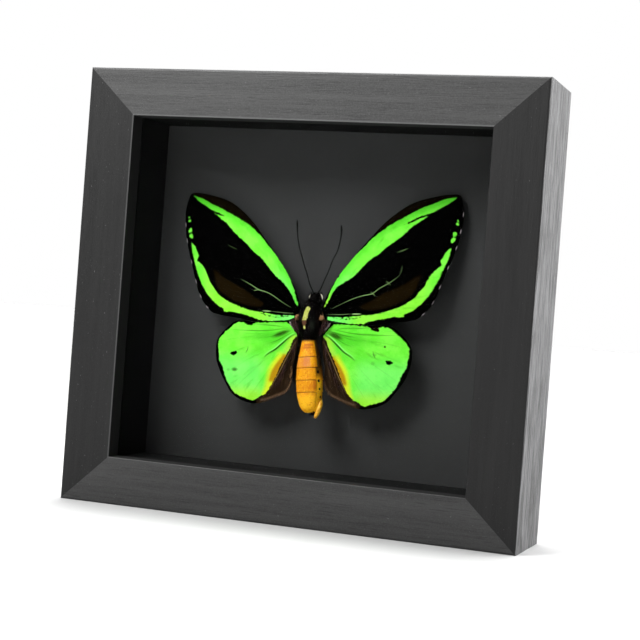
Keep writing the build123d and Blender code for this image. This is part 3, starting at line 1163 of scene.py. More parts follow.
# Where the right forewing's band is narrower than the left one's: the end of its lower edge.
RIGHT_BAND_ROOT = ((12.3, 13.7), (9.6, 9.9), (7.2, 5.2), (6.1, 3.8))

# Where the left forewing's band differs: the end of its upper edge, and its shorter fork.
LEFT_BAND_TIP = (
    (36.8, 43.2), (41.4, 45.6), (45.1, 47.5), (49.8, 49.7), (54.3, 51.5), (59.1, 53.9),
    (64.9, 55.9),
)
LEFT_FORK_TOP = ((48.6, 46.6), (46.8, 45.7))
LEFT_FORK_BELOW = ((46.8, 45.7), (48.4, 45.9), (50.2, 46.3), (52.4, 47))

# Rows of points across a ridge: the place of each, and how high and how strong it is there.
RIDGE_ROWS = ((-1.0, 0.0), (-0.5, 0.75), (0.0, 1.0), (0.5, 0.75), (1.0, 0.0))

# How deep in the wing the feet of a ridge stand, in millimetres.
RIDGE_SINK = 0.03

# Points of the margin on each side of a fringe dash's middle.
DASH_REACH = 3


@dataclass
class Stance:
    """Where the specimen's own frame, upright about the thorax, stands in the case."""

    glue_depth: float = 4.2 * MM
    block_below: float = 2.6 * MM
    roll_deg: float = 2.3
    pitch_deg: float = 3.6
    dish_radius_mm: float = 685.0

    def matrix(self) -> Matrix:
        """Gives the specimen's placement, from the block that carries it.

        Returns:
            The matrix from the specimen's frame to the case's.
        """
        low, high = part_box("mounting_block")
        middle = (low + high) / 2
        place = Matrix.Translation((middle.x, low.y - self.glue_depth, middle.z + self.block_below))
        roll = Matrix.Rotation(-math.radians(self.roll_deg), 4, "Y")
        pitch = Matrix.Rotation(-math.radians(self.pitch_deg), 4, "X")
        return place @ roll @ pitch

    def dish_mm(self, a: np.ndarray, b: np.ndarray) -> np.ndarray:
        """Gives how far back the wings' dished sheet lies at places on it."""
        return self.dish_radius_mm - np.sqrt(self.dish_radius_mm ** 2 - a ** 2 - b ** 2)


@dataclass
class Ridge:
    """A fine line on a wing that stands a little proud: a vein, a crease or a fringe dash."""

    points: Sequence[Point]
    line: Line
    width: float = 0.6
    strength: float = 1.0
    height: float = 0.14


@dataclass
class Wing:
    """One wing: a dished sheet whose points know how far they are from the green."""

    hand: Hand
    stance: Stance
    name: str = ""
    node: str = ""
    lap_mm: float = 0.0
    gauge_mm: float = 0.14
    mesh_mm: float = 0.5
    pleat_mm: float = 0.16
    pleats: int = 17
    root: Point = (5.0, 0.0)

    def outline(self) -> np.ndarray:
        """Gives the wing's edge."""
        raise NotImplementedError

    def fields(self, at: np.ndarray) -> dict[str, np.ndarray]:
        """Gives the distances and tints at places on the wing."""
        raise NotImplementedError

    def ridges(self) -> list[Ridge]:
        """Gives the veins, creases and fringe."""
        raise NotImplementedError

    def finish(self) -> Finish:
        """Gives the scales' finish, its noise different on each wing."""
        seed = 17.0 * (1 + self.hand.value) + self.lap_mm
        return WingScales(self.name + "_scales", "wing_scales", seed)

    def surface_mm(self, at: np.ndarray) -> np.ndarray:
        """Gives how far back the wing's front lies at places on it.

        Args:
            at: The places.

        Returns:
            The depths, with the pleats between the veins.
        """
        away = at - np.array(self.root)
        reach = np.hypot(away[:, 0], away[:, 1])
        turn = np.arctan2(away[:, 1], away[:, 0])
        pleats = self.pleat_mm * np.sin(self.pleats * turn) * ease(reach, 2, 18)
        return self.stance.dish_mm(at[:, 0], at[:, 1]) + self.lap_mm + pleats

    def place_mm(self, at: np.ndarray, depth: np.ndarray) -> np.ndarray:
        """Gives places on the wing, each so far back, as points in metres."""
        return MM * np.column_stack([self.hand.value * at[:, 0], depth, at[:, 1]])

    def sheet(self, shape: Shape) -> None:
        """Adds the sheet: a front, a back and the edge between them.

        Args:
            shape: The piece that gets it.
        """
        rim = self.outline()
        low, high = rim.min(0), rim.max(0)
        step = self.mesh_mm
        columns = np.arange(low[0], high[0], step)
        rows = np.arange(low[1], high[1], step * math.sqrt(3) / 2)
        grid = np.array([(x + (k % 2) * step / 2, y) for k, y in enumerate(rows) for x in columns])
        grid = grid[depth_inside(grid, rim) > 0.45 * step]
        cloud = [Vector(p) for p in np.vstack([rim, grid])]
        edges = [(i, (i + 1) % len(rim)) for i in range(len(rim))]
        flat, _, faces, origin, _, _ = delaunay_2d_cdt(cloud, edges, [], 1, 1e-6)
        at = np.array([(p.x, p.y) for p in flat])
        depth = self.surface_mm(at)
        count = len(at)
        front = [f if self.hand is Hand.RIGHT else f[::-1] for f in map(list, faces)]
        back = [[count + i for i in f[::-1]] for f in front]
        where = {source: i for i, sources in enumerate(origin) for source in sources}
        ring = [where[i] for i in range(len(rim))]
        walls = []
        for here, ahead in zip(ring, ring[1:] + ring[:1]):
            wall = [ahead, here, count + here, count + ahead]
            walls.append(wall if self.hand is Hand.RIGHT else wall[::-1])
        points = np.vstack([self.place_mm(at, depth), self.place_mm(at, depth + self.gauge_mm)])
        shape.extend(points, front + back + walls, self.finish())
        for key, value in self.held(at).items():
            shape.values[key] = dict(enumerate(np.concatenate([value, value]).tolist()))

    def held(self, at: np.ndarray) -> dict[str, np.ndarray]:
        """Gives every value that the mesh holds at places on the wing.

        Args:
            at: The places.

        Returns:
            The values by name.
        """
        away = at - np.array(self.root)
        held = {"local_x": at[:, 0], "local_y": at[:, 1]}
        held.update(ray_x=np.hypot(*away.T), ray_y=np.arctan2(away[:, 1], away[:, 0]))
        return {**self.fields(at), **held}

    def raise_ridge(self, shape: Shape, ridge: Ridge) -> None:
        """Adds one ridge, a low roof of scales whose line fades out at its sides.

        Args:
            shape: The piece that gets it.
            ridge: The ridge.
        """
        line = smooth(ridge.points, 0.5)
        run = np.gradient(line, axis=0)
        across = np.column_stack([-run[:, 1], run[:, 0]]) / np.hypot(*run.T)[:, None]
        along = np.sin(math.pi * np.linspace(0, 1, len(line))) ** 0.5
        half = ridge.width / 2 * (0.5 + 0.5 * along)
        count, base = len(line), len(shape.points)
        for side, share in RIDGE_ROWS:
            at = line + side * half[:, None] * across
            lift = -RIDGE_SINK + (RIDGE_SINK + ridge.height) * share
            first = shape.extend(self.place_mm(at, self.surface_mm(at) - lift), [], self.finish())
            for key, value in self.held(at).items():
                shape.values[key].update(enumerate(value.tolist(), first))
            strength = (ridge.strength * share * along).tolist()
            shape.values.setdefault(ridge.line.value, {}).update(enumerate(strength, first))
        faces = []
        for k in range(len(RIDGE_ROWS) - 1):
            for i in range(base + k * count, base + (k + 1) * count - 1):
                face = [i, i + count, i + count + 1, i + 1]
                faces.append(face if self.hand is Hand.LEFT else face[::-1])
        shape.fill(faces, self.finish())

    def build(self) -> None:
        """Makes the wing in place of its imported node."""
        shape = Shape()
        self.sheet(shape)
        for ridge in self.ridges():
            self.raise_ridge(shape, ridge)
        self.extras(shape)
        piece = shape.piece(self.name, self.stance.matrix())
        join_vector(piece.data, "local", "local_x", "local_y")
        join_vector(piece.data, "ray", "ray_x", "ray_y")
        settle(piece, self.finish(), self.node)

    def extras(self, shape: Shape) -> None:
        """Adds what only some wings have."""


def join_vector(mesh: bpy.types.Mesh, name: str, first: str, second: str) -> None:
    """Puts two of a mesh's values together as one vector value.

    Args:
        mesh: The mesh.
        name: The vector's name.
        first: The value for X, which is removed.
        second: The value for Y, which is removed.
    """
    count = len(mesh.vertices)
    parts = []
    for key in (first, second):
        part = np.zeros(count, np.float32)
        mesh.attributes[key].data.foreach_get("value", part)
        parts.append(part)
    for key in (first, second):
        mesh.attributes.remove(mesh.attributes[key])
    layer = mesh.attributes.new(name, "FLOAT_VECTOR", "POINT")
    layer.data.foreach_set("vector", np.column_stack([*parts, np.zeros(count)]).ravel())


def settle(piece: Thing, finish: Finish, node: str) -> None:
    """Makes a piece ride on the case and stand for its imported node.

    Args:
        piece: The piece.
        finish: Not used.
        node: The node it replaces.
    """
    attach(piece, CASE_BODY)
    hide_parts(node)
    log.info("%s: %d points, replaces %s", piece.name, len(piece.data.vertices), node)


@dataclass
class Forewing(Wing):
    """Forewing: black, with a broad forked green band at its front and a toothed hem."""

    costa: Sequence[Point] = (
        (5.1, 3.7), (8.0, 11.2), (12.4, 19), (18.5, 27), (25.5, 35.5), (33.5, 44.5), (44, 52.3),
        (55, 55.8), (62.5, 57), (65.6, 56.6), (67.0, 54.6),
    )
    margin: Sequence[Point] = (
        (67.0, 54.6), (68.0, 47), (66.6, 36), (64.4, 28.5), (62.1, 22), (60.0, 16), (57.6, 9.4),
        (55.2, 5.4), (52.2, 2.0), (49.5, 0),
    )
    trailing: Sequence[Point] = ((49.5, 0), (44, -1.2), (37, -2), (28, -3.3), (15, -2.8), (7, -1.5))
    band_top: Sequence[Point] = (
        (6.1, 3.8), (8.5, 10.5), (11.1, 16.4), (15, 22.5), (19.5, 28.1), (23.5, 32.2), (27.4, 36.4),
        (32.9, 40.9), (36.8, 43.5), (41.4, 46.3), (45.1, 48.5), (49.8, 51), (54.3, 52.7),
        (59.1, 54.7), (64.9, 55.9),
    )
    fork_top: Sequence[Point] = (
        (64.9, 55.9), (64, 55.2), (61.5, 53.1), (58, 51), (54.8, 49.1), (51.2, 47.6), (46.8, 46),
        (42.9, 43.6), (41.3, 42.7),
    )
    fork_below: Sequence[Point] = (
        (41.3, 42.7), (43.5, 43.3), (46.6, 44.9), (49.8, 46.3), (52.4, 47),
    )
    band_low: Sequence[Point] = (
        (52.4, 47), (50.5, 45.8), (47.5, 43.6), (44.9, 41.9), (42.7, 39.4), (38.6, 35.9),
        (34.5, 32.8), (30.4, 29), (26.6, 26.4), (22.3, 21.8), (18.5, 18), (13.1, 13.5), (10.2, 9.8),
        (7.4, 5), (6.1, 3.8),
    )
    hem_outer: Sequence[Point] = (
        (63.5, 32.8), (63, 30.4), (62.4, 27.8), (61.2, 24.8), (60.1, 21.9), (59.1, 19.2),
        (57.6, 16.1), (55.5, 12.4), (53.1, 8.9), (50.4, 6.2), (47.2, 3.7), (44, 2.1), (43.5, 0.9),
        (38.5, 0.6), (33.5, -0.4), (28.5, -1.6), (25.6, -2.6), (20.5, -3), (15.6, -2.7),
        (10.6, -2.1), (7.8, -1.4),
    )
    hem_inner: Sequence[Point] = (
        (7.9, -0.2), (11.9, -0.2), (15.5, -0.3), (21, 0.4), (25.2, 1), (29.3, 1.4), (34.2, 2.7),
        (37.9, 4), (41.6, 5.4), (45, 7.3), (47.9, 9.4), (50, 12.2), (51.9, 14.3), (53.2, 16.9),
        (54.6, 19.6), (56.6, 22.2), (58.5, 23.8), (59.8, 24.9), (59.2, 26), (59, 27), (60, 28.7),
        (61.3, 31), (63, 32.6),
    )
    hem_split: Sequence[Point] = ((11, -0.5), (15, -1.0), (19.5, -0.9), (24.5, 0.3))
    split_half: float = 0.14
    brown_patch: Sequence[Point] = (
        (50.4, 20), (47.1, 11.4), (40, 6.7), (33.2, 4.3), (26.1, 3.6), (23.8, 5), (28.5, 7.6),
        (33.5, 10.8), (43.4, 15.6), (47.5, 18.4), (50.4, 20),
    )
    right_vein: Sequence[Point] = (
        (12.7, 4.9), (15.6, 6.4), (20, 8.5), (24.6, 10), (28.7, 11), (31.5, 13.3), (35.9, 15.9),
        (38.5, 17.8), (40.9, 19.8),
    )
    left_vein: Sequence[Point] = (
        (12.7, 4.9), (16.6, 7.2), (20, 9.2), (23, 10.4), (26.5, 11.3), (30.8, 13.6), (35.9, 16),
    )

    def __post_init__(self) -> None:
        """Names the wing by its side, and gives each side its own band."""
        self.name = "forewing_scaled_" + self.hand.label
        self.node = "forewing_" + self.hand.label
        self.root = (4.0, 1.0)
        if self.hand is Hand.LEFT:
            self.band_top = (*self.band_top[:8], *LEFT_BAND_TIP)
            self.fork_top = (*self.fork_top[:6], *LEFT_FORK_TOP)
            self.fork_below = LEFT_FORK_BELOW
        else:
            self.band_low = (*self.band_low[:11], *RIGHT_BAND_ROOT)

    def outline(self) -> np.ndarray:
        """Gives the wing's edge, from the root round by the tip."""
        return closed((self.costa, self.margin, self.trailing), self.mesh_mm)

    def spots(self) -> list[np.ndarray]:
        """Gives the green spots beyond the end of the hem."""
        return [
            blob((65.7, 45.0), (0.7, 0.8)), blob((65.4, 43.5), (1.4, 1.4)),
            blob((64.6, 38.8), (1.8, 2.1), -8), blob((63.9, 36.3), (1.9, 2.5), -14),
        ]

    def fringe(self) -> tuple[Point, ...]:
        """Gives the places of the pale dashes along the margin.

        Returns:
            The places, from the tip down.
        """
        if self.hand is Hand.LEFT:
            return (68.1, 41.4), (66.4, 33.6), (62.9, 23.8), (59.6, 14.6), (56.8, 7.4), (53.0, 2.3)
        return (
            (68.3, 47.9), (67.2, 40.2), (65.0, 32.8), (62.2, 23.9), (59.6, 15.0), (56.8, 7.7),
            (53.0, 2.3),
        )

    def fields(self, at: np.ndarray) -> dict[str, np.ndarray]:
        """Gives the distances and tints at places on the wing.

        Args:
            at: The places.

        Returns:
            The values by name.
        """
        band_loop = closed((self.band_top, self.fork_top, self.fork_below, self.band_low))
        band = depth_inside(at, band_loop)
        hem = depth_inside(at, closed((self.hem_outer, self.hem_inner)))
        edge = np.maximum(band, hem)
        for spot in self.spots():
            edge = np.maximum(edge, depth_inside(at, spot))
        split = line_distance(at, smooth(self.hem_split))
        edge = np.minimum(edge, split - self.split_half)
        from_front = line_distance(at, smooth(self.band_top))
        patch = depth_inside(at, closed((self.brown_patch,)))
        tip, root = (self.costa[-1], self.band_top[-1]), (self.band_top[0], self.costa[0])
        front = depth_inside(at, closed((self.costa, tip, self.band_top[::-1], root)))
        out, reach, on_hem, on_band = at[:, 0], np.hypot(at[:, 0], at[:, 1]), hem > -1, band > -1
        yellow_root = 0.3 * on_band * ease(reach, 17, 8) * (self.hand is Hand.RIGHT)
        front_strip = 0.5 * ease(front, 0.0, 0.8) * ease(out, 14, 26)
        return {
            "edge": edge,
            "cool": 0.5 * ease(out, 24, 9) * on_hem + 0.35 * on_band * ease(reach, 34, 14),
            "deep": 0.75 * ease(from_front, 3.6, 0.6) * on_band + 0.4 * ease(out, 48, 62) * on_band,
            "yellow": 0.14 * on_hem * window(out, 24, 50, 8) + yellow_root,
            "brown": np.maximum(ease(patch, -0.7, 0.5), front_strip),
        }

    def ridges(self) -> list[Ridge]:
        """Gives the pale vein with its forks, the dashes and the fringe.

        Returns:
            The ridges. The first number of each is its width and the second its strength.
        """
        lines = [
            Ridge(((9.6, 3.3), (12.7, 4.9), (15.6, 6.4)), Line.VEIN, 0.4, 0.25),
            Ridge(((19.4, 1.4), (21.5, 1.5), (24.2, 1.6)), Line.VEIN, 0.7, 1.0),
            Ridge(((8.0, 0.8), (14.0, 1.0), (19.9, 1.5)), Line.VEIN, 0.4, 0.4),
        ]
        dash = ((38.9, 29.9), (41.5, 30.9), (44, 32))
        if self.hand is Hand.RIGHT:
            lines += [
                Ridge(self.right_vein, Line.VEIN, 0.42, 0.75),
                Ridge(((40.4, 19.4), (41.4, 21.6), (41.6, 24.3)), Line.VEIN, 0.42, 0.2),
                Ridge(((34.6, 16.9), (35.9, 15.9), (37.0, 14.9)), Line.VEIN, 0.45, 0.8),
                Ridge(((27.7, 11.8), (28.9, 10.9), (30.2, 9.9)), Line.VEIN, 0.45, 0.8),
                Ridge(dash, Line.VEIN, 0.45, 0.5),
            ]
        else:
            lines += [
                Ridge(self.left_vein, Line.VEIN, 0.42, 0.8),
                Ridge(((26.0, 11.7), (27.4, 11.2), (29.2, 10.7)), Line.VEIN, 0.45, 0.8),
                Ridge(dash, Line.VEIN, 0.4, 0.25),
            ]
        edge = smooth(self.margin, 0.4)
        for place in self.fringe():
            nearest = int(np.argmin(np.hypot(*(edge - place).T)))
            at = min(max(nearest, DASH_REACH), len(edge) - DASH_REACH - 1)
            dash = [tuple(p - (0.2, 0)) for p in edge[at - DASH_REACH:at + DASH_REACH + 1]]
            lines.append(Ridge(dash, Line.FRINGE, 0.45, 0.75))
        return lines


@dataclass
class Hindwing(Wing):
    """Hindwing: green with a black spot, gold beside the dark fold along the abdomen."""

    lap_mm: float = 0.75
    pleats: int = 23
    rim: Sequence[Point] = (
        (5.9, -9), (7, -7.3), (8.6, -5.5), (10.2, -3.1), (20, -3), (28, -3.6), (34, -3.2),
        (38.7, -4.1), (42.4, -6.7), (45.7, -9.8), (47.9, -13.4), (48.1, -17.9), (47.4, -22),
        (45.8, -26.4), (43.4, -30.2), (40.8, -33.8), (38.1, -37.0), (33.9, -39.5), (29.2, -40.9),
        (25.2, -41.2), (20.4, -40.1), (15.7, -38.0), (11.1, -35.9), (8.5, -32.5), (7.8, -28.1),
        (7.9, -24.4), (7.3, -20.7), (6.6, -16.3), (6.0, -11.9), (5.9, -9),
    )
    outer: Sequence[Point] = (
        (6.2, -9.2), (8.6, -5.9), (10.7, -4.1), (12.5, -3.3), (17, -3.4), (23.5, -3.8),
        (27.6, -4.1), (29.2, -5.1), (31.5, -5), (33, -4.1), (35.6, -4), (38.3, -4.8), (41.3, -7.2),
        (43.6, -9), (45.7, -11.1), (46.7, -13.3), (46.8, -16.2), (46.3, -19), (45.8, -22),
        (44, -25), (43.1, -27.4), (41.7, -30.5), (40, -32.8), (38.2, -35.1), (36, -37),
        (33.2, -38.2), (30, -39), (27.3, -39.9), (25, -39),
    )
    inner: Sequence[Point] = (
        (25, -39), (23.3, -37.8), (21.3, -36.9), (19.4, -35), (18.1, -32.6), (16, -28.8),
        (14.4, -24.8), (12.2, -20.2), (9.4, -14.8), (8, -11.3), (6.2, -9.2),
    )
    gold_edge: Sequence[Point] = ((13.5, -18.8), (16.5, -22.6), (18.6, -26.3), (19.7, -30))
    yellow_edge: Sequence[Point] = (
        (15.9, -18.9), (19.5, -24.5), (20.8, -30.1), (21.5, -33.4), (22.9, -36.8),
    )
    brown_rim: Sequence[Point] = (
        (22.8, -39.4), (18.9, -38.4), (15, -36.8), (11.1, -35.1), (8.9, -32.5), (7.8, -29.5),
    )
    pinstripe: Sequence[Point] = (
        (6.4, -11.2), (9.4, -16.7), (11.8, -21.4), (14.2, -26.4), (17, -31.5), (18.8, -35.1),
    )
    fold_line: Sequence[Point] = (
        (10.3, -5.7), (14.2, -6.4), (18.5, -7.1), (24.5, -7.6), (30.2, -7.6), (35.5, -7.6),
        (40.4, -7.4),
    )
    crease: Sequence[Point] = (
        (6.8, -8.3), (10, -10.2), (13.3, -13), (16.6, -15.9), (19.7, -17.8), (22.1, -19.7),
    )

    rim_mark: Point = (30.8, -5.3)
    narrowed: Point = (34.0, 47.0)
    narrowed_by: float = 1.1
    crease_tips: Sequence[Point] = ((45, -13), (45.5, -20.5), (42, -28), (37, -35), (29, -38.6))
    fold_hairs: int = 80
    rust_hairs: int = 9
    rim_hairs: int = 110

    def __post_init__(self) -> None:
        """Names the wing by its side. The left one is a little narrower."""
        self.name = "hindwing_scaled_" + self.hand.label
        self.node = "hindwing_" + self.hand.label
        self.root = (4.5, -7.0)
        if self.hand is Hand.LEFT:
            self.rim, self.outer = self.drawn_in(self.rim), self.drawn_in(self.outer)

    def drawn_in(self, line: Sequence[Point]) -> list[Point]:
        """Moves a line's outer part inward, all of it beyond where the narrowing ends."""
        start, end = self.narrowed
        return [(a - self.narrowed_by * float(ease(np.float64(a), start, end)), b) for a, b in line]

    def outline(self) -> np.ndarray:
        """Gives the wing's edge."""
        return closed((self.rim,), self.mesh_mm)

    def spots(self) -> list[np.ndarray]:
        """Gives the black marks, which differ a little between the wings.

        Returns:
            The points of each mark's edge.
        """
        if self.hand is Hand.LEFT:
            return [blob((37.6, -18.5), (3.2, 2.0), -12)]
        return [
            blob((37.9, -19.7), (3.0, 2.1), -12), blob((35.6, -12.7), (0.8, 0.7)),
            blob(self.rim_mark, (4.0, 1.6)),
        ]

    def smudges(self) -> tuple[tuple[Point, Point, float], ...]:
        """Gives the soft dark marks.

        Returns:
            The middle of each, its half size and its strength.
        """
        if self.hand is Hand.LEFT:
            return (
                ((14.2, -8.6), (4.4, 1.3), 0.9),
                ((36.8, -26), (1.6, 0.9), 0.85),
                ((40.1, -26.2), (1.0, 0.7), 0.3),
            )
        return (
            ((12.2, -8.7), (3.6, 1.3), 0.95),
            ((31, -16.6), (0.9, 0.8), 0.35),
            ((30.3, -20.4), (0.9, 0.8), 0.3),
        )

    def fields(self, at: np.ndarray) -> dict[str, np.ndarray]:
        """Gives the distances and tints at places on the wing.

        Args:
            at: The places.

        Returns:
            The values by name.
        """
        field_depth = depth_inside(at, closed((self.outer, self.inner)))
        edge = field_depth
        for spot in self.spots():
            edge = np.minimum(edge, -depth_inside(at, spot))
        a, b = at[:, 0], at[:, 1]
        smudge = np.zeros(len(at))
        for (x, y), (wide, high), strength in self.smudges():
            far = np.hypot((a - x) / wide, (b - y + 0.35 * (a - x) * (x < 20)) / high)
            smudge = np.maximum(smudge, strength * ease(far, 1.35, 0.35))
        in_fold = ease(field_depth, 0.0, -0.6) * (a < 25) * (b < -9)
        narrow = 0.5 if self.hand is Hand.LEFT else 1.2
        root = np.hypot(a - 6, b + 8.5)
        shade = np.hypot((a - 20) / 13.0, (b + 10.5) / 3.6)
        by_fold = ease(beside(at, self.inner[::-1]), 4.4, 0.4) * window(b, -17, -10, 1.5)
        mark_x, mark_y = self.rim_mark
        round_mark = np.exp(-(np.hypot(a - mark_x, b - mark_y) / 2.0) ** 2)
        middle = ease(b, -15, -25) * ease(b, -39, -33) * ease(a, 19, 27)
        upper = 0.15 * ease(root, 26, 6) + 0.35 * ease(a, 34, 20) * ease(b, -26, -16)
        yellow = (
            0.9 * ease(beside(at, self.yellow_edge) + narrow, 1.8, -1.4) * ease(b, -15.5, -20),
            0.26 * ease(b, -31, -37) * ease(a, 20, 26),
            0.42 * by_fold,
        )
        gold = ease(beside(at, self.gold_edge) + narrow, 0.7, -0.7)
        return {
            "edge": edge,
            "cool": 0.34 * middle + 0.4 * by_fold,
            "deep": 0.55 * ease(shade, 1.3, 0.2) + upper,
            "yellow": np.max(yellow, axis=0),
            "gold": gold * window(b, -30.0, -19, 1.8),
            "smudge": smudge,
            "brown": 0.8 * round_mark * (self.hand is Hand.RIGHT),
            "fold": in_fold,
            "rust": 0.9 * in_fold * ease(line_distance(at, smooth(self.brown_rim)), 0.8, 0.2),
        }

    def ridges(self) -> list[Ridge]:
        """Gives the creases that spread from the root, in painted shade with a painted highlight by
        the main one, and the pale line in the fold.

        Returns:
            The ridges. The first number of each is its width and the second its strength.
        """
        above = [(x + 0.45, y + 0.55) for x, y in self.crease]
        front = ((12.7, -5.6), (15.9, -5.1), (21.5, -4.8), (27.1, -4.6))
        short = ((8.4, -7.6), (12.2, -9.6), (16.4, -12.0), (19.6, -13.0))
        long = ((8.8, -6.7), (13.4, -8.0), (18.4, -9.8), (23.4, -10.6))
        lines = [
            Ridge(self.fold_line, Line.CREASE, 0.8, 0.55),
            Ridge(front, Line.CREASE, 0.7, 0.4),
            Ridge(self.crease, Line.CREASE, 1.1, 1.0),
            Ridge(above, Line.SHEEN, 0.9, 0.5),
            Ridge(short, Line.CREASE, 0.55, 0.5),
            Ridge(long, Line.CREASE, 0.5, 0.35),
            Ridge(((30.3, -14.7), (30.6, -16.5), (31.6, -18.2)), Line.CREASE, 0.7, 0.6),
            Ridge(self.pinstripe, Line.PIN, 0.55, 0.7),
        ]
        if self.hand is Hand.RIGHT:
            extra = ((8.3, -6.3), (12, -7.3), (16.4, -8.4), (20.8, -8.9))
            lines.append(Ridge(extra, Line.CREASE, 0.8, 0.6))
        for x, y in self.crease_tips:
            route = ((0.55 * x + 3, 0.55 * y - 3), (0.8 * x + 1, 0.8 * y - 1), (x, y))
            lines.append(Ridge(route, Line.CREASE, 0.5, 0.16, height=0.06))
        return lines

    def lay_hair(
        self, shape: Shape, at: np.ndarray, lift: float, way: Point, size: Point, finish: Finish
    ) -> None:
        """Adds one hair that hangs from a place on the wing.

        Args:
            shape: The piece that gets it.
            at: The place of its root.
            lift: How far before the wing's front its root stands, in millimetres.
            way: How far it runs outward, and how far forward, for each step down.
            size: Its length and thickness, in millimetres.
            finish: Its finish.
        """
        root = Vector(self.place_mm(at, self.surface_mm(at) - lift)[0])
        hang = Vector((self.hand.value * way[0], -way[1], -1))
        hair(shape, root, hang, size[0] * MM, size[1] * MM, finish)

    def extras(self, shape: Shape) -> None:
        """Adds the long brown hairs along the fold, and the short tan ones along its rim.

        Args:
            shape: The piece that gets them.
        """
        rng = random.Random(40 + self.hand.value)
        for _ in range(self.fold_hairs):
            share = rng.random()
            at = np.array([[6.8 + 8.0 * share ** 1.3 + rng.uniform(-0.5, 1.2), -12 - 20 * share]])
            way = rng.uniform(0.15, 0.40), rng.uniform(0.0, 0.06)
            size = rng.uniform(2.0, 4.5), 0.14
            self.lay_hair(shape, at, 0.06, way, size, rng.choice((HAIR_UMBER, HAIR_BLACK)))
        for _ in range(self.rust_hairs if self.hand is Hand.LEFT else 0):
            at = np.array([[rng.uniform(7.8, 9.0), rng.uniform(-28, -23)]])
            way = rng.uniform(-0.1, 0.2), rng.uniform(0.0, 0.06)
            self.lay_hair(shape, at, 0.08, way, (rng.uniform(1.5, 3.0), 0.10), HAIR_RUST)
        rim = smooth(self.brown_rim, 0.4)
        for _ in range(self.rim_hairs):
            at = rim[rng.randrange(2, len(rim) - 1)][None] + rng.uniform(-0.3, 0.3)
            way = rng.uniform(-0.7, 0.1), 0.05
            self.lay_hair(shape, at, 0.04, way, (rng.uniform(0.7, 1.6), 0.12), HAIR_TAN)


# The pale crescent on each eye, a painted highlight: the arc that it spans in degrees, and its
# radius in millimetres.
EYE_HIGHLIGHT_ARCS = {Hand.LEFT: (34.0, 88.0, 0.22), Hand.RIGHT: (20.0, 96.0, 0.26)}
EYE_HIGHLIGHT_RINGS = 9


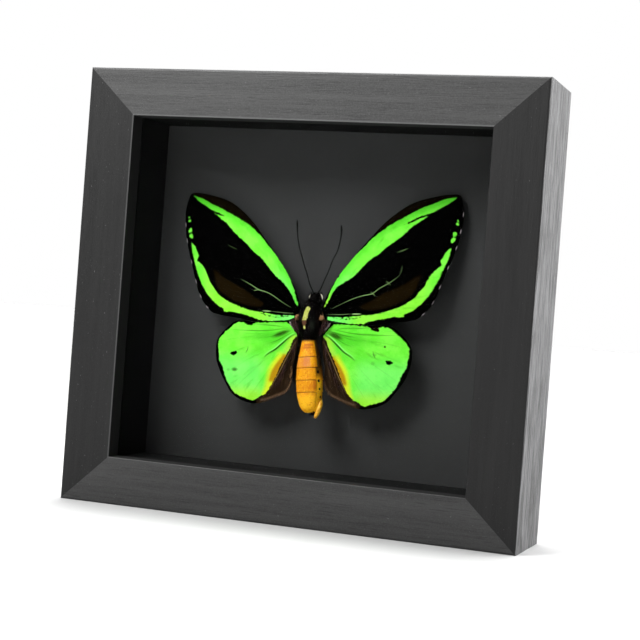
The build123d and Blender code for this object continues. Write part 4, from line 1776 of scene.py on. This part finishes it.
@dataclass
class Body:
    """Thorax, head, eyes, abdomen and antennae, lathed about the specimen's own axis."""

    stance: Stance
    furrow_aside: float = 0.9
    thorax_hairs: int = 1100
    rust_hairs: int = 60
    umber_hairs: int = 230
    pale_hairs: int = 70
    tail_hairs: int = 90
    skull_hairs: int = 420
    neck_hairs: int = 260
    thorax_profile: Sequence[Point] = (
        (5.8, 2.2), (5.0, 3.2), (3.2, 4.4), (0.6, 5.1), (-2.6, 5.35), (-5.6, 5.1), (-8.2, 4.4),
        (-10.2, 3.6), (-11.0, 3.1),
    )
    stripe: Sequence[Point] = (
        (0.1, 2.8), (-0.35, 1.5), (-0.9, -1.8), (-1.15, -2.7), (-1.0, -4.6), (-0.9, -6.2),
    )
    stripe_half: float = 1.05
    abdomen_top: float = -11.0
    abdomen_length: float = 33.3
    abdomen_bend_deg: float = 4.0
    abdomen_girth: float = 5.4
    abdomen_sides: int = 80
    abdomen_rings: int = 140
    whole_plates: float = 0.38
    abdomen_profile: Sequence[Point] = (
        (0.0, 3.15), (0.10, 3.9), (0.20, 4.65), (0.30, 5.3), (0.39, 5.7), (0.56, 6.05), (0.73, 5.8),
        (0.83, 5.25), (0.93, 4.2), (0.985, 2.6), (1.0, 1.2),
    )
    fine_seams: Sequence[float] = (0.078, 0.108)
    seams: Sequence[float] = (0.24, 0.39, 0.56, 0.724)
    dots: Sequence[Place] = (
        (0.444, 1.05, 0.85), (0.568, 1.11, 0.7), (0.679, 1.22, 0.65), (0.787, 1.42, 0.65),
    )
    clasper: Sequence[Place] = (
        (7.0, 0.9, -37.4), (7.5, -0.4, -39.6), (7.3, -1.2, -41.6), (6.8, -1.4, -43.3),
        (6.1, -1.4, -44.9), (5.4, -1.2, -46.3),
    )
    clasper_radii: Sequence[float] = (0.6, 0.95, 1.1, 1.1, 0.95, 0.6)
    head_place: Place = (1.4, 1.5, 5.8)
    skull_profile: Sequence[Point] = (
        (5.1, 0.5), (4.8, 1.6), (4.0, 2.6), (2.9, 3.1), (1.8, 3.2), (0.6, 2.9), (-0.6, 2.4),
        (-1.6, 2.0),
    )
    eye_radius: float = 1.6
    eye_place: Place = (1.95, -0.15, 2.3)
    left_bow: Sequence[Point] = (
        (-1.3, 2.66), (-3.3, 6.5), (-5.1, 11.7), (-6.2, 14.2), (-7.8, 18.8), (-9.4, 23.3),
        (-10.4, 27.6), (-11.0, 32.2), (-11.3, 36.1),
    )
    right_bow: Sequence[Point] = (
        (1.0, 2.79), (2.0, 4.2), (3.8, 8.8), (5.6, 13.1), (7.1, 17.7), (9.1, 21.9), (10.1, 26.1),
        (10.6, 30.4), (10.2, 33.8),
    )

    def lathe(
        self, shape: Shape, profile: np.ndarray, finish: Finish, sides: int,
        form: Callable[[float, float, float], Vector],
    ) -> None:
        """Adds a closed form lathed from a profile.

        Args:
            shape: The piece that gets it.
            profile: Height and radius of each ring, from the top down, in millimetres.
            finish: Its finish.
            sides: Points round each ring.
            form: Gives a point for a height, a radius and a turn.
        """
        points, faces = [], []
        for height, radius in profile:
            for k in range(sides):
                points.append(form(height, radius, 2 * math.pi * k / sides))
        for i in range(len(profile) - 1):
            for k in range(sides):
                here, nxt = i * sides + k, i * sides + (k + 1) % sides
                faces.append([here, here + sides, nxt + sides, nxt])
        faces.append(list(range(sides)))
        faces.append([(len(profile) - 1) * sides + k for k in range(sides)][::-1])
        shape.extend(points, faces, finish)

    def thorax(self) -> None:
        """Makes the thorax with its stripe, fur and wing-root tufts."""
        shape = Shape()
        self.lathe(shape, smooth(self.thorax_profile, 0.35), THORAX_SKIN, 64, self.barrel)
        at = np.array([(p[0], p[1], p[2]) for p in shape.points]) / MM
        across, high = at[:, 0], at[:, 2]
        from_stripe = line_distance(at[:, [0, 2]], smooth(self.stripe, 0.3))
        stripe = self.stripe_half - from_stripe - 0.6 * ease(high, -3.4, -5.4)
        stripe = np.where(at[:, 1] < 0, stripe, -3.0)
        shape.mark({
            "stripe": stripe,
            "dusk": window(high, -4.8, -2.6, 0.4),
            "sheen": np.exp(-((across - 2.4) / 0.9) ** 2 - ((high + 4.6) / 2.2) ** 2),
            "flank": ease(np.abs(across), 3.6, 5.0),
        })
        self.fur(shape, at, stripe)
        piece = shape.piece("thorax_furred", self.stance.matrix())
        settle(piece, THORAX_SKIN, "butterfly_thorax")

    def barrel(self, height: float, radius: float, turn: float) -> Vector:
        """Rounds the thorax, with a shallow furrow down its front.

        Args:
            height: Its height, in millimetres.
            radius: The radius of its ring.
            turn: How far round it is, 0 at the front.

        Returns:
            The point in metres.
        """
        x, y = radius * math.sin(turn), -radius * math.cos(turn)
        furrow = 0.25 * math.exp(-((x - self.furrow_aside) / 0.7) ** 2) if y < 0 else 0.0
        lumps = 0.12 * noise.noise(Vector((x, y, height)) * 0.6)
        return Vector((x * (1 + 0.02 * lumps), (y + furrow) * (1 + lumps / 5), height)) * MM

    def fur(self, shape: Shape, at: np.ndarray, stripe: np.ndarray) -> None:
        """Adds short fur over the thorax.

        Args:
            shape: The piece that gets it.
            at: The thorax's points, in millimetres.
            stripe: How far inside the stripe each point is.
        """
        rng = random.Random(7)
        for _ in range(self.thorax_hairs):
            i = rng.randrange(len(at))
            x, y, z = at[i]
            if stripe[i] > -0.3 or y > 2.5:
                continue
            out = Vector((x, y, 0.25 * z)).normalized()
            way = out + self.stray(rng, 0.3) + Vector((0, 0, -1.6))
            hair(shape, Vector(at[i]) * MM, way, rng.uniform(0.7, 1.4) * MM, 0.12 * MM, HAIR_BLACK)
        for hand in Hand:
            self.root_fur(shape, hand, rng)

    def stray(self, rng: random.Random, reach: float) -> Vector:
        """Gives a random step, each part of it within a reach."""
        return Vector([rng.uniform(-reach, reach) for _ in range(3)])

    def root_fur(self, shape: Shape, hand: Hand, rng: random.Random) -> None:
        """Adds the tufts where the wings leave the thorax.

        Args:
            shape: The piece that gets them.
            hand: The side.
            rng: Where chance comes from.
        """
        for _ in range(self.rust_hairs):
            root = Vector((hand.value * 5.6, -1.2, -0.6)) + self.stray(rng, 1.0)
            aside, back = hand.value * rng.uniform(0.1, 0.8), rng.uniform(-0.5, 0.1)
            way = Vector((aside, back, rng.uniform(-1.2, -0.3)))
            hair(shape, root * MM, way, rng.uniform(0.9, 1.8) * MM, 0.20 * MM, HAIR_RUST)
        for _ in range(self.umber_hairs):
            share = rng.random()
            root = Vector((hand.value * (8.0 - 2.2 * share), -0.5, -2.6 - 4.6 * share))
            root += self.stray(rng, 1.0)
            way = Vector((-hand.value * rng.uniform(0.1, 0.7), rng.uniform(-0.3, 0.0), -1))
            finish = HAIR_UMBER if rng.random() < 0.7 else HAIR_BLACK
            hair(shape, root * MM, way, rng.uniform(1.0, 2.2) * MM, 0.20 * MM, finish)
        for _ in range(self.pale_hairs):
            share = rng.random()
            root = Vector((hand.value * (10.0 - 2.0 * share), -0.4, -3.0 - 2.9 * share))
            root += self.stray(rng, 0.3)
            way = Vector((-hand.value * 0.8, rng.uniform(-0.25, 0.0), -1))
            hair(shape, root * MM, way, rng.uniform(0.9, 1.8) * MM, 0.15 * MM, HAIR_PALE)

    def abdomen(self) -> None:
        """Makes the abdomen: overlapping rings, a soft side with dots, and claspers."""
        shape = Shape()
        knots = smooth(self.abdomen_profile, 0.02)
        share = np.linspace(0, 1, self.abdomen_rings)
        radius = np.interp(share, knots[:, 0], knots[:, 1])
        for seam in self.seams:
            after = share - seam
            groove = 0.26 * np.exp(-(after / 0.006) ** 2)
            swell = 0.16 * np.exp(-((after + 0.018) / 0.02) ** 2)
            radius = radius - groove + swell
        profile = np.column_stack([-self.abdomen_length * share, radius])
        self.lathe(shape, profile, ABDOMEN_SKIN, self.abdomen_sides, self.plate)
        along = np.repeat(share, self.abdomen_sides)
        turn = np.tile(
            np.linspace(0, 2 * math.pi, self.abdomen_sides, endpoint=False), len(share)
        )
        self.mark_abdomen(shape, along, np.where(turn > math.pi, turn - 2 * math.pi, turn))
        route = [Vector(p) * MM for p in self.clasper]
        tube(shape, route, [r * MM for r in self.clasper_radii], CLASPER_SKIN, 12)
        rng = random.Random(11)
        for _ in range(self.tail_hairs):
            aside, back = rng.uniform(2.4, 5.4), rng.uniform(-1.8, 1.4)
            root = Vector((aside, back, rng.uniform(-44.2, -43.4)))
            way = self.stray(rng, 0.4) + Vector((0.3, 0, -1))
            hair(shape, root * MM, way, rng.uniform(1.0, 2.4) * MM, 0.24 * MM, HAIR_BLACK)
        piece = shape.piece("abdomen_ringed", self.stance.matrix())
        settle(piece, ABDOMEN_SKIN, "butterfly_abdomen")

    def plate(self, height: float, radius: float, turn: float) -> Vector:
        """Rounds a ring of the abdomen, sunk along the soft side where its plates end.

        Args:
            height: Its height, in millimetres.
            radius: The radius of its ring.
            turn: How far round it is, 0 at the front.

        Returns:
            The point in metres.
        """
        side = math.exp(-((turn - 1.0) / 0.20) ** 2)
        ring = radius * (1 - 0.05 * side * min(1.0, -height / 12))
        across, ahead = math.sin(turn), math.cos(turn)
        lumps = 0.10 * noise.noise(Vector((across * 3, ahead * 3, height * 0.45)))
        x = (ring + lumps) * math.copysign(abs(across) ** 0.86, across)
        y = -(ring + lumps) * 0.82 * math.copysign(abs(ahead) ** 0.86, ahead)
        bend = Matrix.Rotation(-math.radians(self.abdomen_bend_deg), 4, "Y")
        return bend @ (Vector((x, y, height)) * MM) + Vector((0, 0, self.abdomen_top)) * MM

    def mark_abdomen(self, shape: Shape, along: np.ndarray, turn: np.ndarray) -> None:
        """Gives the abdomen's points the values that its colours come from.

        Args:
            shape: The abdomen.
            along: How far down it each point is, 0 to 1.
            turn: How far round it each point is, 0 at the front, more to the right.
        """
        ring = np.searchsorted(self.seams, along)
        starts = np.array((0.0, *self.seams))[ring]
        ends = np.array((*self.seams, 1.0))[ring]
        middle = np.abs(2 * (along - starts) / (ends - starts) - 1)
        lower_half = along > starts + 0.5 * (ends - starts)
        whole = along < self.whole_plates
        plate_end = np.where(whole, 1.00, 0.86 - 0.30 * middle ** 8 * lower_half)
        past = (turn - plate_end) * self.abdomen_girth
        seams = [np.abs(along - s - 0.003 * np.sin(3 * turn + 40 * s)) for s in self.seams]
        seam = np.min(seams, axis=0) * self.abdomen_length + 1.2 * ease(past, 0.0, 0.4)
        fine = np.min([np.abs(along - s) for s in self.fine_seams], axis=0)
        seam = np.minimum(seam, fine * self.abdomen_length + 0.22)
        border = np.abs(past) + 0.08 + 3 * whole + 3 * ease(along, 0.93, 0.97)
        dots = [
            np.hypot((along - s) * self.abdomen_length, (turn - t) * self.abdomen_girth) - r
            for s, t, r in self.dots
        ]
        pink = window(along, 0.25, 0.365, 0.02)
        pink_front = 0.85 * pink * window(turn, -0.1, 0.2, 0.22)
        pink_left = 0.4 * pink * window(turn, -0.9, -0.35, 0.2)
        stain = 0.7 * window(along, 0.57, 0.67, 0.03) * window(turn, 0.58, 0.76, 0.08)
        left_side = 0.35 * ease(turn, -0.5, -1.1) * ease(turn, -1.8, -1.1)
        upper_neck = 0.9 * window(along, 0.066, 0.084, 0.012) * window(turn, -0.25, 0.75, 0.12)
        lower_neck = 0.8 * window(along, 0.104, 0.120, 0.012) * window(turn, -0.3, 0.4, 0.12)
        right_side = 0.95 * ease(past, -0.2, 0.5) * ease(-along, -0.44, -0.34)
        # Painted light: the last ring and the lower soft right side are made brighter gold.
        last_ring = 0.75 * ease(along, 0.72, 0.80)
        shape.mark({
            "seam": np.minimum(seam, border),
            "dot": np.min(dots, axis=0),
            "peach": pink_front + pink_left,
            "amber": stain + left_side + upper_neck + lower_neck,
            "flank": np.maximum(right_side, 0.9 * ease(-along, -0.045, 0.0)),
            "dull": 0.9 * ease(past, -0.9, 0.3) * window(along, 0.38, 0.45, 0.10),
            "painted_glow": np.maximum(last_ring, 0.8 * ease(past, -0.1, 0.6) * ease(along, 0.50, 0.58)),
        })

    def head(self) -> None:
        """Makes the head with its fur and the painted highlights on its eyes."""
        shape = Shape()
        self.lathe(shape, smooth(self.skull_profile, 0.2), HEAD_SKIN, 32, self.skull)
        rng = random.Random(3)
        for _ in range(self.skull_hairs):
            turn, height = rng.uniform(-math.pi, math.pi), rng.uniform(-2.2, 4.6)
            radius = 3.05 - 0.30 * abs(height - 1.8)
            out = Vector((math.sin(turn), -math.cos(turn), 0.5 * (height - 2)))
            root = Vector((radius * out.x, radius * out.y, height)) + Vector(self.head_place)
            way = out + Vector((0, 0, 0.4))
            hair(shape, root * MM, way, rng.uniform(0.8, 1.7) * MM, 0.16 * MM, HAIR_BLACK)
        for _ in range(self.neck_hairs):
            aside, back = rng.uniform(-4.6, 3.4), rng.uniform(-1.0, 1.6)
            root = Vector((aside, back, rng.uniform(-3.6, 1.6)))
            way = Vector((0.5 * root.x, rng.uniform(-0.5, 0.3), rng.uniform(-0.4, 1.4)))
            root += Vector(self.head_place)
            hair(shape, root * MM, way, rng.uniform(1.0, 2.0) * MM, 0.26 * MM, HAIR_BLACK)
        for hand in Hand:
            self.eye_highlight(shape, hand)
        settle(shape.piece("head_furred", self.stance.matrix()), HEAD_SKIN, "butterfly_head")

    def skull(self, height: float, radius: float, turn: float) -> Vector:
        """Rounds the skull, flatter at the sides."""
        here = Vector((0.92 * radius * math.sin(turn), -radius * math.cos(turn), height))
        return (here + Vector(self.head_place)) * MM

    def eye_highlight(self, shape: Shape, hand: Hand) -> None:
        """Adds the pale crescent that curves over one eye, a painted highlight.

        Args:
            shape: The piece that gets it.
            hand: Its side.
        """
        start, end, thick = EYE_HIGHLIGHT_ARCS[hand]
        route, radii = [], []
        for k in range(EYE_HIGHLIGHT_RINGS):
            turn = math.radians(start + (end - start) * k / (EYE_HIGHLIGHT_RINGS - 1))
            aside = 0.75 + hand.value * (1.6 + 1.6 * math.sin(turn))
            step = Vector((aside, -1.9, 2.0 + 2.4 * math.cos(turn)))
            route.append((step + Vector(self.head_place)) * MM)
            radii.append(MM * thick * math.sin(math.pi * (k + 0.8) / (EYE_HIGHLIGHT_RINGS + 0.6)))
        tube(shape, route, radii, EYE_HIGHLIGHT_WHITE, 8)

    def eyes(self) -> None:
        """Makes the two eyes."""
        shape = Shape()
        arc = np.linspace(0.05, math.pi - 0.05, 22)
        dome = self.eye_radius * np.column_stack([np.cos(arc), np.sin(arc)])
        for hand in Hand:
            self.lathe(shape, dome, EYE, 28, partial(self.eye, hand))
        settle(shape.piece("eyes_faceted", self.stance.matrix()), EYE, "butterfly_eyes")

    def eye(self, hand: Hand, height: float, radius: float, turn: float) -> Vector:
        """Rounds one eye about its middle.

        Args:
            hand: Its side.
            height: Its height, in millimetres.
            radius: The radius of its ring.
            turn: How far round it is, 0 at the front.

        Returns:
            The point in metres.
        """
        aside, back, high = self.eye_place
        middle = Vector((hand.value * aside, back, high)) + Vector(self.head_place)
        out = Vector((0.82 * radius * math.sin(turn), -radius * math.cos(turn), height))
        return (middle + out) * MM

    def antenna(self, hand: Hand) -> None:
        """Makes one antenna: fine rings that thicken to a club.

        Args:
            hand: Its side.
        """
        shape = Shape()
        line = smooth(self.left_bow if hand is Hand.LEFT else self.right_bow, 0.28)
        share = np.linspace(0, 1, len(line))
        radii = 0.27 + 0.02 * (np.arange(len(line)) % 2) + 0.20 * ease(share, 0.80, 0.93)
        radii = radii * (1 - 0.55 * ease(share, 0.965, 1.0))
        base = Vector(self.head_place) + Vector((0, 0, 2.3))
        route = [(base + Vector((x, 0, z))) * MM for x, z in line]
        tube(shape, route, [r * MM for r in radii], HORN, 10)
        piece = shape.piece("antenna_ringed_" + hand.label, self.stance.matrix())
        settle(piece, HORN, "antenna_" + hand.label)

    def build(self) -> None:
        """Makes every piece of the body."""
        self.thorax()
        self.abdomen()
        self.head()
        self.eyes()
        for hand in Hand:
            self.antenna(hand)


@dataclass
class Specimen:
    """The spread butterfly on its cork block."""

    stance: Stance = field(default_factory=Stance)

    def build(self, nodes: dict[str, Thing]) -> None:
        """Makes the wings and the body, and dresses the block.

        Args:
            nodes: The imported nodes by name.
        """
        for hand in Hand:
            Forewing(hand, self.stance).build()
            Hindwing(hand, self.stance).build()
        Body(self.stance).build()
        dress_node(nodes["mounting_block"], CORK)


# ---- the studio


def away_from_case(azimuth_deg: float, elevation_deg: float) -> Vector:
    """Gives the direction that leads away from the case.

    Args:
        azimuth_deg: How far to the right of straight before the glass.
        elevation_deg: How far it rises.

    Returns:
        The direction.
    """
    turn, rise = math.radians(azimuth_deg), math.radians(elevation_deg)
    level = math.cos(rise)
    return Vector((math.sin(turn) * level, -math.cos(turn) * level, math.sin(rise)))


def hang_light(data: bpy.types.Light, source: Vector) -> Thing:
    """Adds a light to the scene that shines back along a direction.

    Args:
        data: The light.
        source: Where it comes from.

    Returns:
        The light's object.
    """
    thing = bpy.data.objects.new(data.name, data)
    thing.rotation_euler = source.to_track_quat("Z", "Y").to_euler()
    link(thing)
    return thing


@dataclass
class Lamp:
    """A soft distant light, by the way it comes from."""

    name: str
    azimuth_deg: float
    elevation_deg: float
    strength: float
    spread_deg: float

    def hang(self) -> None:
        """Adds the light to the scene."""
        data = bpy.data.lights.new(self.name, "SUN")
        data.energy = self.strength
        data.angle = math.radians(self.spread_deg)
        hang_light(data, away_from_case(self.azimuth_deg, self.elevation_deg))


@dataclass
class SoftBox:
    """A square soft light near the case, aimed at its middle."""

    name: str
    azimuth_deg: float
    elevation_deg: float
    distance: float
    size: float
    power: float
    aim: Place = (0.0, 0.0, 0.1)

    def hang(self) -> None:
        """Adds the light to the scene, unseen by the camera."""
        data = bpy.data.lights.new(self.name, "AREA")
        data.shape, data.size, data.energy = "SQUARE", self.size, self.power
        source = away_from_case(self.azimuth_deg, self.elevation_deg)
        thing = hang_light(data, source)
        thing.location = Vector(self.aim) + self.distance * source
        thing.visible_camera = False


@dataclass
class Studio:
    """Floor, background, lights and camera. Azimuth 0 is straight before the glass."""

    floor_size: float = 12.0
    floor_tone: float = 0.547
    ambient: float = 0.0375
    lamps: Sequence[Lamp | SoftBox] = (
        SoftBox("key_high_left", -32.0, 43.0, 0.62, 0.30, 5.7),
        Lamp("top_behind", 178.0, 79.0, 5.25, 22.0),
        Lamp("edge_behind", 140.0, 8.0, 1.5, 30.0),
        Lamp("edge_right", 108.0, 6.0, 3.75, 24.0),
    )
    camera_azimuth_deg: float = 19.65
    camera_elevation_deg: float = 0.49
    camera_roll_deg: float = 4.32
    camera_at: Place = (0.239144, -0.653993, 0.097384)
    lens_mm: float = 86.53
    sensor_mm: float = 36.0
    camera_sees: Point = (0.01, 50.0)

    def floor(self) -> None:
        """Lays the pale floor, which keeps the case's shadow."""
        half = self.floor_size / 2
        mesh = bpy.data.meshes.new("floor")
        corners = [(-half, -half, 0), (half, -half, 0), (half, half, 0), (-half, half, 0)]
        mesh.from_pydata(corners, [], [(0, 1, 2, 3)])
        thing = bpy.data.objects.new("floor", mesh)
        link(thing)
        graph = Graph("floor_white")
        graph.paint(grey(self.floor_tone), 0.9, Specular_IOR_Level=0.0)
        mesh.materials.append(graph.material)

    def world(self) -> None:
        """Makes the background: white to the camera and in gloss and glass, dimmer as light."""
        world = bpy.data.worlds.new("studio_white")
        bpy.context.scene.world = world
        world.use_nodes = True
        tree = world.node_tree
        tree.nodes.clear()
        path = tree.nodes.new("ShaderNodeLightPath")
        shown = path.outputs["Is Camera Ray"]
        for ray in ("Is Glossy Ray", "Is Transmission Ray"):
            either = tree.nodes.new("ShaderNodeMath")
            either.operation = "MAXIMUM"
            tree.links.new(shown, either.inputs[0])
            tree.links.new(path.outputs[ray], either.inputs[1])
            shown = either.outputs[0]
        level = tree.nodes.new("ShaderNodeMapRange")
        level.inputs["To Min"].default_value = self.ambient
        level.inputs["To Max"].default_value = 1.0
        tree.links.new(shown, level.inputs["Value"])
        light = tree.nodes.new("ShaderNodeBackground")
        light.inputs["Color"].default_value = (1, 1, 1, 1)
        tree.links.new(level.outputs[0], light.inputs["Strength"])
        out = tree.nodes.new("ShaderNodeOutputWorld")
        tree.links.new(light.outputs[0], out.inputs["Surface"])

    def camera(self) -> None:
        """Stands the camera where the picture was taken from."""
        turn, roll = math.radians(self.camera_azimuth_deg), math.radians(self.camera_roll_deg)
        ahead = -away_from_case(self.camera_azimuth_deg, self.camera_elevation_deg)
        level = Vector((math.cos(turn), math.sin(turn), 0))
        above = level.cross(ahead)
        right = level * math.cos(roll) + above * math.sin(roll)
        up = above * math.cos(roll) - level * math.sin(roll)
        data = bpy.data.cameras.new("camera")
        data.lens, data.sensor_width, data.sensor_fit = self.lens_mm, self.sensor_mm, "HORIZONTAL"
        data.clip_start, data.clip_end = self.camera_sees
        thing = bpy.data.objects.new("camera", data)
        axes = Matrix((right, up, -ahead)).transposed().to_4x4()
        thing.matrix_world = Matrix.Translation(self.camera_at) @ axes
        link(thing)
        bpy.context.scene.camera = thing

    def build(self) -> None:
        """Sets everything up."""
        self.floor()
        self.world()
        for lamp in self.lamps:
            lamp.hang()
        self.camera()
        bpy.context.scene.view_settings.view_transform = "Standard"


def main() -> None:
    """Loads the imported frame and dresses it, sub-assembly by sub-assembly."""
    logging.basicConfig(level=logging.INFO, format="%(name)s: %(message)s")
    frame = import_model()
    nodes = frame["nodes"]
    Studio().build()
    Carcase().dress(nodes)
    Glazing().dress(nodes)
    BackFittings().dress(nodes)
    Specimen().build(nodes)


if __name__ == "__main__":
    main()
